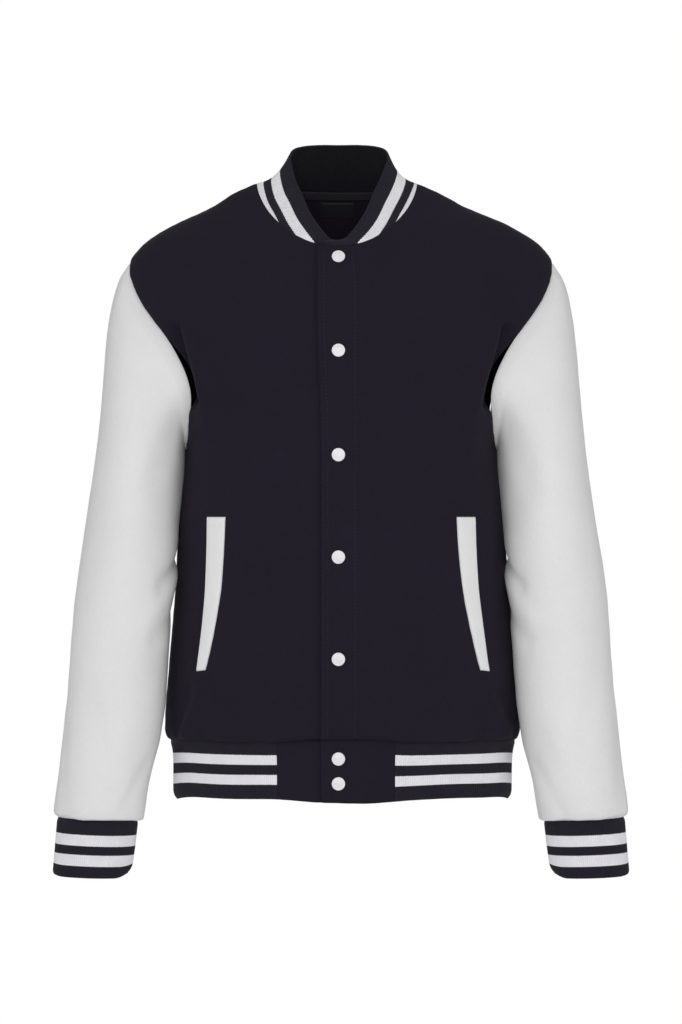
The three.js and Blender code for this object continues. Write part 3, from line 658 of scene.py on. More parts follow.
def put_in(name, part, material, nodes=(), sharp=50):
    """Makes a piece of the object from points in millimetres, quads and places. Points that round to the
    same thousandth of a millimetre become one, quads with a side of no length become triangles, and
    all faces are turned outward by the sign of the enclosed volume."""
    points, quads, places = part
    whole = np.rint(points * 1000).astype(np.int64) + 2**20
    key = (whole[:, 0] << 42) | (whole[:, 1] << 21) | whole[:, 2]
    _, kept, number = np.unique(key, return_index=True, return_inverse=True)
    corners = number[quads]
    same = corners == np.roll(corners, -1, axis=1)
    four = same.sum(axis=1) == 0
    three = same.sum(axis=1) == 1
    order = (np.argmax(same[three], axis=1)[:, None] + np.array([1, 2, 3])) % 4
    tri_places = np.take_along_axis(quads[three], order, axis=1)
    tri = number[tri_places]
    quad, quad_places = corners[four], quads[four]
    co = points[kept] * MM
    a, b, c, d = (co[quad[:, k]] for k in range(4))
    volume = np.sum(np.cross(a, b) * c) + np.sum(np.cross(a, c) * d)
    volume += np.sum(np.cross(co[tri[:, 0]], co[tri[:, 1]]) * co[tri[:, 2]])
    if volume < 0:
        quad, quad_places, tri, tri_places = (
            x[:, ::-1] for x in (quad, quad_places, tri, tri_places)
        )
    mesh = bpy.data.meshes.new(name)
    mesh.vertices.add(len(co))
    mesh.vertices.foreach_set("co", co.ravel())
    mesh.loops.add(quad.size + tri.size)
    mesh.loops.foreach_set("vertex_index", np.concatenate([quad.ravel(), tri.ravel()]).astype(np.int32))
    mesh.polygons.add(len(quad) + len(tri))
    starts = np.concatenate([np.arange(len(quad)) * 4, quad.size + np.arange(len(tri)) * 3])
    mesh.polygons.foreach_set("loop_start", starts.astype(np.int32))
    mesh.update(calc_edges=True)
    mesh.polygons.foreach_set("use_smooth", np.ones(len(starts), bool))
    layer = mesh.uv_layers.new(name="cloth")
    spread = places[np.concatenate([quad_places.ravel(), tri_places.ravel()])] * 0.01
    layer.data.foreach_set("uv", spread.ravel())
    mesh.validate()
    mesh.set_sharp_from_angle(angle=np.radians(sharp))
    mesh.materials.append(material)
    piece = bpy.data.objects.new(name, mesh)
    bpy.context.scene.collection.objects.link(piece)
    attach(piece, "root")
    if nodes:
        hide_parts(*nodes)
    return piece


def lengths_along(points, axis):
    """Running length along the rows or columns of a grid."""
    step = np.linalg.norm(np.diff(points, axis=axis), axis=-1)
    run = np.cumsum(step, axis=axis)
    return np.concatenate([np.zeros_like(np.take(run, [0], axis=axis)), run], axis=axis)


def grid_places(points):
    """Place in the cloth's plane in millimetres: length along the rows, and height."""
    return np.stack([lengths_along(points, 1), points[..., 2]], axis=-1)


def front_panel(sign, settings, rows, columns):
    """A front as a wall. The left one is lifted at the closure, with a stitched edge and facing, and is
    dented a little round each snap; both sink along the seams and round the pocket welt."""
    left = sign > 0
    rounding = settings.fleece_mm / 2
    start_x = (LEFT_EDGE if left else -RIGHT_EDGE) + rounding
    turn, z, neck_row = panel_places("front", start_x, rows, columns)
    point, out = cloth_face(turn, z, "front", sign, settings.folds, settings.gathers)
    base, _ = body_points(turn, z)
    if left:
        point = point + level(out) * lap_lift(base[..., 0])[..., None]
    seams = [point[neck_row:, 0], point[:, -1], point[0], point[-1]]
    away = np.minimum.reduce([near_line(point, line[::2]) for line in seams])
    sunk = seam_dip(away) + 0.35 * ripple(point * (sign, 1, 1), 15, 21) * np.exp(-away / 7)
    x = base[..., 0]
    if left:
        for place in (LEFT_EDGE + EDGE_STITCH, LEFT_EDGE + FACING_STITCH):
            sunk = sunk - 0.45 * np.exp(-((x - place) / 1.3) ** 2)
        for height in SNAP_HEIGHTS[:5]:
            reach = np.hypot(x - SNAP_X, z - height)
            sunk = sunk - 0.8 * np.exp(-(reach / 9) ** 2)
    near, far = (smooth(WELT[:, 0], WELT[:, k])(z) for k in (1, 2))
    beside = np.maximum(near - x, x - far)
    beyond = np.maximum(z - WELT[-1, 0], WELT[0, 0] - z)
    apart = np.hypot(np.maximum(beside, 0), np.maximum(beyond, 0))
    trench = np.exp(-((apart - 1.4) / 1.2) ** 2)
    trench = np.where((beside > 0) | (beyond > 0), trench, 0.25)
    sunk = sunk - 0.9 * trench * (apart < 6)
    outer = point + out * np.maximum(sunk, DEEPEST)[..., None]
    inner = point - out * settings.fleece_mm
    part = wall(outer, inner, grid_places(outer), grid_places(inner), rim=True)
    return settled(part if left else mirrored(part))


def back_panel(settings, rows, columns):
    """The back as a wall: two halves that share the points of the middle line below the neckline."""
    halves = []
    for sign in (1, -1):
        turn, z, neck_row = panel_places("back", 0.0, rows, columns)
        point, out = cloth_face(turn, z, "back", sign, settings.folds, settings.gathers)
        seams = [point[neck_row:, 0], point[:, -1], point[0], point[-1]]
        away = np.minimum.reduce([near_line(point, line[::2]) for line in seams])
        uneven = 0.35 * ripple(point * (sign, 1, 1), 15, 22) * np.exp(-away / 7)
        sunk = seam_dip(away) + uneven
        outer = point + out * np.maximum(sunk, DEEPEST)[..., None]
        inner = point - out * settings.fleece_mm
        for grid in (outer, inner):
            grid[: neck_row + 1, 0, 0] = 0
        places = [grid_places(grid) * (sign, 1) for grid in (outer, inner)]
        part = wall(outer, inner, *places, near_from=neck_row)
        halves.append(part if sign > 0 else mirrored(part))
    return settled(joined(*halves))


def armhole_edge(angle):
    """Points of the armhole's edge and their outward directions for angles round the sleeve, 0 at the
    shoulder point, a quarter turn at the front and half a turn at the underarm."""
    degrees = np.degrees(angle)
    ahead = degrees <= 180
    fore = armhole_place(np.minimum(degrees, 180), "front")
    aft = armhole_place(np.minimum(360 - degrees, 180), "back")
    return body_points(np.where(ahead, fore[0], aft[0]), np.where(ahead, fore[1], aft[1]))


def ring(section, angle):
    """An oval ring: middle + half of the way from the inner to the outer edge times cos(angle), and
    forward by the half depth times sin(angle)."""
    out_x, out_z, in_x, in_z, y, deep = section[:6]
    return np.stack(np.broadcast_arrays(
        (out_x + in_x) / 2 + (out_x - in_x) / 2 * np.cos(angle),
        y - deep * np.sin(angle),
        (out_z + in_z) / 2 + (out_z - in_z) / 2 * np.cos(angle),
    ), axis=-1)


def sleeve_sections(rows):
    """The table's sections with their edges moved to the depth of each section's middle."""
    moved = rows.copy()
    for column in (0, 2):
        moved[:, column], moved[:, column + 1] = in_depth(rows[:, column], rows[:, column + 1], rows[:, 4])
    return moved


def sleeve_folds(degrees, down):
    """Sum of the sleeves' ridges and troughs, with the angle's gap taken the short way round."""
    total = np.zeros(np.broadcast(degrees, down).shape)
    for a1, d1, a2, d2, width, height in SLEEVE_FOLDS:
        run_a, run_d = a2 - a1, d2 - d1
        gap = (degrees - a1 + 180) % 360 - 180
        share = np.clip((gap * run_a + (down - d1) * run_d) / (run_a**2 + run_d**2), 0, 1)
        away = np.hypot(gap - run_a * share, down - d1 - run_d * share) / width
        total += height * np.exp(-away**2)
    return total


def sleeve_panel(settings, sign, around, along):
    """A sleeve as a tube: rings between the cuff seam and the armhole, each an oval plus the part that is
    left of the armhole's own shape. Folds and gathers at the cuff go along its normals."""
    rows = sleeve_sections(SLEEVE)
    height = -(rows[:, 1] + rows[:, 3]) / 2
    angle = np.linspace(0, 2 * np.pi, around + 1)[:, None]
    down = height[-1] + (height[0] - height[-1]) * dense_ends(along, 0.7)[None, :]
    table = [smooth(height, rows[:, k])(down) for k in range(7)]
    edge, edge_out = armhole_edge(angle[:, 0] % (2 * np.pi))
    edge, edge_out = edge[:, None], edge_out[:, None]
    hole = np.array([(rows[0, 0] + rows[0, 2]) / 2, rows[0, 4], (rows[0, 1] + rows[0, 3]) / 2])
    way = hole - edge
    way = unit(way - edge_out * np.sum(way * edge_out, axis=-1, keepdims=True))
    own = edge + way * SEAM - ring(rows[0, :6], angle)
    point = ring(table[:6], angle) + table[6][..., None] * own
    point[-1] = point[0]
    out = grid_normals(point, closed=True)
    middle = np.stack(np.broadcast_arrays(
        (table[0] + table[2]) / 2, table[4], (table[1] + table[3]) / 2), axis=-1)
    out = out * np.sign(np.mean(np.sum(out * (point - middle), axis=-1)))
    from_cuff = lengths_along(point, 1)
    from_hole = from_cuff[:, -1:] - from_cuff
    keep = smoothstep(from_hole, 0, 10)[..., None]
    out = unit(out * keep + edge_out * (1 - keep))
    degrees = np.degrees(angle) % 360
    real = point * (sign, 1, 1)
    lengthwise = waves(degrees * DEGREE + 0 * down, (28.5, 42.75, 57.0, 85.5), 31 + (sign < 0))
    gather = lengthwise * np.exp(-from_cuff / 30) * (1 - np.exp(-from_cuff / 6))
    form = settings.folds * sleeve_folds(degrees, -point[..., 2]) * smoothstep(from_hole, 4, 30)
    form = form + settings.gathers * 1.1 * gather
    uneven = 0.5 * ripple(real, 120, 33) + 0.25 * ripple(real, 45, 34)
    form = (form + uneven * smoothstep(from_hole, 0, 20)) * smoothstep(from_cuff, 0, 5)
    point = point + out * form[..., None]
    sag = 1.6 * np.exp(-((from_cuff - 7) / 5) ** 2) * (1 - np.exp(-from_cuff / 2))
    point[..., 2] -= sag * (1 + 0.2 * lengthwise)
    sunk = seam_dip(np.minimum(from_cuff, from_hole))
    sunk = sunk + 0.4 * ripple(real, 14, 35) * np.exp(-from_hole / 8)
    outer = point + out * np.maximum(sunk, DEEPEST)[..., None]
    inner = point - out * settings.fleece_mm
    for grid in (outer, inner):
        grid[-1] = grid[0]
    places = np.stack(np.broadcast_arrays(degrees * DEGREE, from_cuff), axis=-1).copy()
    places[-1, :, 0] = 360 * DEGREE
    part = wall(outer, inner, places, places, ends=False)
    return part if sign > 0 else mirrored(part)


def ribbed(face, out, ribs, from_seam, stripe_place, settings, closed):
    """A ribbed band as a wall from its face in the grooves. The rows go round the band and the columns
    from its free edge to its seam, where the ribs flatten and the band sinks. A rib's height is
    |sin(pi ribs)|^0.8, and the inner face has the same ribs."""
    flat = smoothstep(from_seam, 0.3, 4)
    rise = settings.rib_mm * np.abs(np.sin(np.pi * ribs)) ** 0.8 * flat
    dip = -0.8 * np.clip(1 - from_seam / 3, 0, 1) ** 2
    outer = face + out * (rise + dip)[..., None]
    inner = face - out * (settings.rib_wall_mm - settings.rib_mm + rise)[..., None]
    if closed:
        outer[-1], inner[-1] = outer[0], inner[0]
    along, across = np.broadcast_arrays(ribs * settings.rib_pitch_mm, stripe_place)
    places_out = np.stack([along, across], axis=-1)
    # The inner face's places lie below INSIDE_FROM, where the rib material paints a dark shade.
    places_in = np.stack([along, INSIDE_FROM - np.abs(across)], axis=-1)
    return wall(outer, inner, places_out, places_in, rim=True, ends=not closed)


def corner(distance, inward, upward):
    """How far a rounded corner stands in at a distance above its end: an ellipse's quarter, inward
    (1 - sqrt(1 - (1 - distance / upward)^2))."""
    short = np.clip(1 - distance / upward, 0, 1)
    return inward * (1 - np.sqrt(1 - short**2))


def cuff_wall(settings, along):
    """A cuff as a ribbed tube between its top and bottom ovals. Its lower corners round in, and its hem
    rises a little towards them."""
    top, bottom = sleeve_sections(CUFF)
    high = np.linalg.norm(bottom[:2] - top[:2])
    edge = settings.rib_wall_mm / 2
    from_end = edge + (high + RIB_LAP - edge) * dense_ends(along, 0.6)[None, :]
    down = 1 - from_end / high
    section = [top[k] + (bottom[k] - top[k]) * down for k in range(6)]
    for column, sign, (inward, upward, _) in ((0, -1, CUFF_CORNERS[0]), (2, 1, CUFF_CORNERS[1])):
        section[column] = section[column] + sign * corner(from_end, inward, upward)
    fine = np.linspace(0, 2 * np.pi, 2401)
    line = ring(top, fine)
    run = np.concatenate([[0], np.cumsum(np.linalg.norm(np.diff(line, axis=0), axis=1))])
    count = int(round(run[-1] / settings.rib_pitch_mm))
    steps = count * settings.rib_points
    angle = np.interp(np.linspace(0, run[-1], steps + 1), run, fine)[:, None]
    face = ring(section, angle)
    half = (top[0] - top[2]) / 2
    out = unit(np.stack(np.broadcast_arrays(np.cos(angle) / half, -np.sin(angle) / top[5], 0 * down),
                        axis=-1))
    bend = 0.9 * waves(angle * 40, (62.83, 83.78, 125.66), 41)
    face = face + out * (bend * smoothstep(down, 0, 0.5))[..., None]
    near_end = 1 - smoothstep(from_end, 0, 25)
    for sign, (_, _, upward) in ((1, CUFF_CORNERS[0]), (-1, CUFF_CORNERS[1])):
        share = np.clip((sign * np.cos(angle) - 0.7) / 0.3, 0, 1)
        face[..., 2] += upward * share**2 * near_end
    ribs = np.linspace(0, count, steps + 1)[:, None]
    from_seam = high - from_end + 0 * angle
    return ribbed(face, out, ribs, from_seam, from_seam, settings, closed=True)


def band_face(turn, z):
    """The waistband's face at turns and heights: a level section whose sides flare out to the seam and
    round in near the hem, bent in and out and up and down by uneven waves that grow towards the hem."""
    flare = BAND_FLARE[0] * np.exp(-np.maximum(BAND_TOP - z, 0) / BAND_FLARE[1])
    side = BAND["side"] + flare - corner(z - HEM, BAND_CORNER[0], BAND_CORNER[1])
    point, out = section_points(turn, z, side, BAND["front"], BAND["back"], BAND["square"])
    low = smoothstep(BAND_TOP - z, 0, 50)
    run = turn * QUARTER
    point = point + out * (1.2 * low * waves(run, (95, 140, 190), 51))[..., None]
    point[..., 2] += 1.1 * low * waves(run, (126.7, 190, 95), 52)
    return point, out


def band_rib(settings, along):
    """The striped rib from the left end panel round the back to the right one."""
    start = band_turn(BAND_LEFT_END - END_LAP)
    end = 4 + band_turn(BAND_RIGHT_END + END_LAP)
    fine = np.linspace(start, end, 4001)
    line, _ = section_points(fine, 0 * fine, **BAND)
    run = np.concatenate([[0], np.cumsum(np.linalg.norm(np.diff(line, axis=0), axis=1))])
    count = int(round(run[-1] / settings.rib_pitch_mm))
    steps = count * settings.rib_points
    turn = np.interp(np.linspace(0, run[-1], steps + 1), run, fine)[:, None]
    low = HEM + settings.rib_wall_mm / 2
    z = low + (BAND_TOP + RIB_LAP - low) * dense_ends(along, 0.5)[None, :]
    face, out = band_face(turn, z)
    ribs = np.linspace(0, count, steps + 1)[:, None]
    from_seam = BAND_TOP - z + 0 * turn
    return settled(ribbed(face, out, ribs, from_seam, from_seam, settings, closed=False))


def band_end(settings, from_x, to_x, lifted, around, along):
    """A plain end panel of the waistband between two places seen from the front, sunk along its seam and
    sides and round each snap."""
    s = dense_ends(around, 0.6)[:, None]
    x = from_x + (to_x - from_x) * s
    turn = np.vectorize(band_turn)(x)
    low = HEM + settings.fleece_mm / 2
    z = low + (BAND_TOP + RIB_LAP - low) * dense_ends(along, 0.6)[None, :]
    face, out = band_face(turn, z)
    if lifted:
        face = face + out * lap_lift(x)[..., None]
    top = np.clip(1 - (BAND_TOP - z) / 3, 0, 1) ** 2
    ends = np.clip(1 - np.minimum(np.abs(x - from_x), np.abs(x - to_x)) / 2.5, 0, 1) ** 2
    sunk = -0.9 * np.maximum(top + 0 * x, ends + 0 * z)
    sunk = sunk + 0.25 * ripple(face, 22, 61)
    if lifted:
        for height in SNAP_HEIGHTS[5:]:
            reach = np.hypot(x - SNAP_X, z - height)
            sunk = sunk - 0.7 * np.exp(-(reach / 8) ** 2)
    outer = face + out * np.maximum(sunk, DEEPEST)[..., None]
    inner = face - out * settings.fleece_mm
    return settled(wall(outer, inner, grid_places(outer), grid_places(inner), rim=True))


def neckline(shares):
    """The neckline from the right front's edge round the back to the left front's edge, with outward
    directions, at even steps on each of its four stretches."""
    def stretch(half, start_x, sign, lifted=False):
        turn, z = neck_place(half, start_x, shares)
        point, out = body_points(turn, z)
        if lifted:
            point = point + level(out) * lap_lift(point[..., 0])[..., None]
        return point * (sign, 1, 1), out * (sign, 1, 1)

    parts = [
        stretch("front", -RIGHT_EDGE, -1),
        [x[::-1][1:] for x in stretch("back", 0.0, -1)],
        [x[1:] for x in stretch("back", 0.0, 1)],
        [x[::-1][1:] for x in stretch("front", LEFT_EDGE, 1, True)],
    ]
    points, outs = [np.concatenate([part[k] for part in parts]) for k in (0, 1)]
    return settle(points), outs


def collar_edge(steps):
    """The collar's upper edge from the right front round the back to the left front, with even steps on
    each of its four stretches. Below, it moves further towards the wearer's right than above."""
    share = smoothstep(-COLLAR_EDGE[:, 2], -COLLAR_SHIFT_FROM[0], -COLLAR_SHIFT_FROM[1])
    shift = COLLAR_SHIFT[0] + (COLLAR_SHIFT[1] - COLLAR_SHIFT[0]) * share
    aside = np.stack([shift, 0 * shift, 0 * shift], axis=1)
    left, right = COLLAR_EDGE + aside, COLLAR_EDGE * (-1, 1, 1) + aside
    line = np.vstack([COLLAR_ENDS[:1], right[1:][::-1], left, COLLAR_ENDS[1:]])
    last = len(COLLAR_EDGE)
    return space_curve(line, (0, last - COLLAR_SIDE, last, last + COLLAR_SIDE, 2 * last), (steps,) * 4)


def averaged(values, reach):
    """Each direction of a grid averaged with those up to a reach away along the rows."""
    padded = np.concatenate([np.repeat(values[:1], reach, 0), values, np.repeat(values[-1:], reach, 0)])
    total = np.cumsum(np.concatenate([np.zeros_like(padded[:1]), padded]), axis=0)
    return unit(total[2 * reach + 1:] - total[: -2 * reach - 1])


def collar_wall(settings, along):
    """The collar as a ribbed wall: straight lines from the neckline to the upper edge, bulged out by up to
    1.4 mm sin(pi v) and, beside the neck ends of the shoulder seams, drawn in by the hollow."""
    steps = int(round(126.0 / settings.rib_pitch_mm)) * settings.rib_points
    low, low_out = neckline(np.linspace(0, 1, steps + 1))
    edge = collar_edge(steps)
    way = np.array([NECK_SHIFT, -8.0, -30.0]) - low
    way = unit(way - low_out * np.sum(way * low_out, axis=-1, keepdims=True))
    low = low + way * SEAM
    up = np.linalg.norm(edge - low, axis=1)[:, None]
    margin = settings.rib_wall_mm / 2 / up
    v = (1 - margin) * (1 - dense_ends(along, 0.5)[None, :])
    face = low[:, None] * (1 - v[..., None]) + edge[:, None] * v[..., None]
    out = grid_normals(face)
    out = out * np.sign(np.sum(out * face * (1, 1, 0), axis=-1, keepdims=True))
    for _ in range(2):
        out = averaged(out, 3 * settings.rib_points)
    keep = smoothstep(v, 0, 0.2)[..., None]
    out = unit(out * keep + low_out[:, None] * (1 - keep))
    run = (np.arange(len(low)) / steps)[:, None]
    beside = np.exp(-((run - 1) / 0.5) ** 2) + np.exp(-((run - 3) / 0.5) ** 2)
    bulge = 1.4 * np.sin(np.pi * v) * (1 - beside) - COLLAR_HOLLOW * beside * np.sin(np.pi * v**0.8)
    face = face + out * bulge[..., None]
    from_edge = (1 - v) * up
    ribs = (np.arange(len(low)) / settings.rib_points)[:, None]
    return ribbed(face, out, ribs, v * up, from_edge, settings, closed=False)


def welt_wall(settings, sign, across, along):
    """A pocket welt on the front's face as a low padded strip that rounds down to the cloth over its
    edges as the root of 1 - |2s - 1|^7, with a groove along each row of stitches."""
    t = dense_ends(along, 0.6)[:, None]
    z = WELT[0, 0] + (WELT[-1, 0] - WELT[0, 0]) * t
    near, far = (smooth(WELT[:, 0], WELT[:, k])(z) for k in (1, 2))
    s = dense_ends(across, 0.7)[None, :]
    x = near + (far - near) * s
    z = z - WELT_SLANT * (s - 0.5) * (1 - t)
    turn = turn_at(x, z)
    point, out = cloth_face(turn, z, "front", sign, settings.folds, settings.gathers)
    rounded = (1 - np.abs(2 * s - 1) ** 7) * (1 - np.abs(2 * t - 1) ** 60)
    groove = sum(np.exp(-((s - share) / 0.035) ** 2) for share in WELT_STITCHES)
    lift = 0.1 + WELT_HIGH * rounded ** 0.5 - 0.28 * groove
    outer = point + out * lift[..., None]
    inner = point - out * WELT_DEPTH
    part = wall(outer, inner, grid_places(outer), grid_places(inner))
    return settled(part if sign > 0 else mirrored(part))


def back_inside(x, z, settings):
    """The inner face of the back at places seen from the front, and which way its outside faces."""
    turn = 2 - turn_at(np.abs(x), z)
    found = []
    for sign in (1, -1):
        point, out = cloth_face(turn, z, "back", sign, settings.folds, settings.gathers)
        found.append(((point - out * settings.fleece_mm) * (sign, 1, 1), out * (sign, 1, 1)))
    right = (x < 0)[..., None]
    return [np.where(right, found[1][k], found[0][k]) for k in (0, 1)]


def neck_back_z(x):
    """Height of the back neckline at a place across it."""
    return NECK_TOP - NECK_BACK_DROP * np.sqrt(np.clip(1 - (x / NECK_HALF) ** 2, 0, 1))


def inside_strip(settings, size, top, across, down):
    """A thin strip inside the back below a line: rounded on its edges, against the cloth."""
    s = np.linspace(-1, 1, across + 1)[:, None]
    x = size["half"] * s
    t = np.linspace(0, 1, down + 1)[None, :]
    z = top(x) - size["drop"] * t
    x = x + 0 * t
    point, out = back_inside(x, z, settings)
    edge = (1 - np.abs(2 * t - 1) ** 8) * (1 - np.abs(s) ** 40)
    near_cloth = point - out * 0.1
    proud = point - out * (INSIDE_GAP + size["thick"] * edge ** 0.5)[..., None]
    places = np.stack(np.broadcast_arrays(x, size["drop"] * t), axis=-1)
    return settled(wall(proud, near_cloth, places, places))


def snap_shape(radius, around=40):
    """A snap cap: a profile turned round its axis, crowned in the middle, with a rolled edge that goes
    down into the cloth. Returns points with the axis along +Z, and quads."""
    profile = np.array([
        (0.0, 2.5), (0.18, 2.47), (0.36, 2.38), (0.54, 2.22), (0.7, 2.0), (0.8, 1.84), (0.84, 1.86),
        (0.9, 1.9), (0.96, 1.72), (0.99, 1.4), (1.0, 1.0), (0.985, 0.5), (0.95, 0.1), (0.9, -0.1),
        (0.88, -1.4), (0.0, -1.4),
    ])
    angle = np.linspace(0, 2 * np.pi, around + 1)[:, None]
    r, h = profile[:, 0] * radius, profile[:, 1]
    points = np.stack(np.broadcast_arrays(r * np.cos(angle), r * np.sin(angle), h), axis=-1).copy()
    points[-1] = points[0]
    grid = np.arange(points.shape[0] * points.shape[1]).reshape(points.shape[:2])
    places = np.stack(np.broadcast_arrays(angle * radius, r), axis=-1).reshape(-1, 2)
    return points.reshape(-1, 3), patch(grid), places


def stitches(line, out, length=3.0, gap=1.3, thread=0.3):
    """A row of stitches along a line on the cloth: each a closed thread of six sides that is thickest in
    the middle and dips into the cloth at both ends. Whole rows are computed at once."""
    run = np.concatenate([[0], np.cumsum(np.linalg.norm(np.diff(line, axis=0), axis=1))])
    count = int(run[-1] // (length + gap))
    centre_at = (np.arange(count) + 0.5) * (run[-1] / count)

    def pick(values, at):
        return np.stack([np.interp(at, run, values[:, k]) for k in range(3)], axis=1)

    centre = pick(line, centre_at)
    tangent = unit(pick(line, centre_at + 0.5) - pick(line, centre_at - 0.5))
    normal = unit(pick(out, centre_at))
    side = unit(np.cross(tangent, normal))
    along = np.array([-1, -0.85, -0.4, 0.4, 0.85, 1]) * length / 2
    thick = np.array([0.35, 0.8, 1, 1, 0.8, 0.35]) * thread
    lift = np.array([-0.3, -0.12, 0.05, 0.05, -0.12, -0.3])
    turn = np.arange(7) * np.pi / 3
    shape = (count, 6, 7)
    t = np.broadcast_to(along[None, :, None], shape)
    across = np.broadcast_to(thick[:, None] * np.cos(turn), (6, 7))[None] + np.zeros(shape)
    high = (thick[:, None] * np.sin(turn) + lift[:, None])[None] + np.zeros(shape)
    points = (
        centre[:, None, None] + tangent[:, None, None] * t[..., None]
        + side[:, None, None] * across[..., None] + normal[:, None, None] * high[..., None]
    )
    points[:, :, 6] = points[:, :, 0]
    grid = np.arange(np.prod(shape)).reshape(shape)
    body = np.stack([
        grid[:, :-1, :-1], grid[:, :-1, 1:], grid[:, 1:, 1:], grid[:, 1:, :-1]
    ], axis=-1).reshape(-1, 4)
    ends = []
    for row, flip in ((0, -1), (5, 1)):
        cap = np.concatenate([grid[:, row, [0, 1, 2, 3]], grid[:, row, [0, 3, 4, 5]]])
        ends.append(cap[:, ::flip])
    places = np.stack([t, across], axis=-1).reshape(-1, 2)
    return points.reshape(-1, 3), np.concatenate([body, *ends]), places


def add(tree, kind, inputs=None, **settings):
    """A node with its settings; an input is another node's output, which is linked, or a value."""
    node = tree.nodes.new(kind)
    for key, value in settings.items():
        setattr(node, key, value)
    for key, value in (inputs or {}).items():
        if isinstance(value, bpy.types.NodeSocket):
            tree.links.new(value, node.inputs[key])
        else:
            node.inputs[key].default_value = value
    return node


def new_material(name, **constants):
    """A material with its shader's own sockets set, and its node tree and shader."""
    material = bpy.data.materials.new(name)
    material.use_nodes = True
    tree = material.node_tree
    shader = tree.nodes["Principled BSDF"]
    for key, value in constants.items():
        shader.inputs[key.replace("_", " ")].default_value = value
    return material, tree, shader


def calc(tree, operation, a, b=0.0, c=0.0):
    """A Math node's result."""
    return add(tree, "ShaderNodeMath", {0: a, 1: b, 2: c}, operation=operation).outputs[0]


def ranged(tree, value, low, high, to_low, to_high):
    """A Map Range node's result."""
    return add(tree, "ShaderNodeMapRange", {
        "Value": value, "From Min": low, "From Max": high, "To Min": to_low, "To Max": to_high,
    }).outputs[0]


def mixed(tree, factor, first, second, blend="MIX"):
    """A Mix node's colour."""
    node = add(tree, "ShaderNodeMix", data_type="RGBA", blend_type=blend)
    for socket, value in ((node.inputs[0], factor), (node.inputs[6], first), (node.inputs[7], second)):
        if isinstance(value, bpy.types.NodeSocket):
            tree.links.new(value, socket)
        else:
            socket.default_value = value
    return node.outputs[2]


def shade(colour, factor, lift=0.0):
    """A colour made darker or lighter, with its alpha."""
    return tuple(min(1.0, c * factor + lift) for c in colour[:3]) + (1.0,)


def fleece_material(name, colour, sheen, spread, nap):
    """Brushed fleece: cloudy colour, a fine upright nap stretched along the wales, and a soft sheen."""
    material, tree, shader = new_material(
        name, Sheen_Weight=sheen, Sheen_Roughness=0.5, Sheen_Tint=shade(colour, 1.6, 0.12),
        Specular_IOR_Level=0.22,
    )
    place = add(tree, "ShaderNodeTexCoord").outputs["Object"]
    cloud = add(tree, "ShaderNodeTexNoise", {"Vector": place, "Scale": 11.0, "Detail": 4.0,
                                             "Roughness": 0.55}).outputs[0]
    drawn = add(tree, "ShaderNodeMapping", {"Vector": place, "Scale": (1.0, 1.0, 0.42)}).outputs[0]
    fibre = add(tree, "ShaderNodeTexNoise", {"Vector": drawn, "Scale": 620.0, "Detail": 3.0,
                                             "Roughness": 0.6}).outputs[0]
    pill = add(tree, "ShaderNodeTexNoise", {"Vector": place, "Scale": 150.0, "Detail": 2.0}).outputs[0]
    tone = calc(tree, "ADD", calc(tree, "MULTIPLY", cloud, 0.55), calc(tree, "MULTIPLY", fibre, 0.45))
    tone = ranged(tree, tone, 0.32, 0.68, 0.0, 1.0)
    colours = mixed(tree, tone, shade(colour, 1 - spread), shade(colour, 1 + spread))
    tree.links.new(colours, shader.inputs["Base Color"])
    tree.links.new(ranged(tree, fibre, 0.3, 0.7, 0.84, 0.97), shader.inputs["Roughness"])
    height = calc(tree, "ADD", fibre, calc(tree, "MULTIPLY", pill, 0.8))
    bump = add(tree, "ShaderNodeBump", {"Height": height, "Strength": nap, "Distance": 0.0006})
    tree.links.new(bump.outputs[0], shader.inputs["Normal"])
    return material


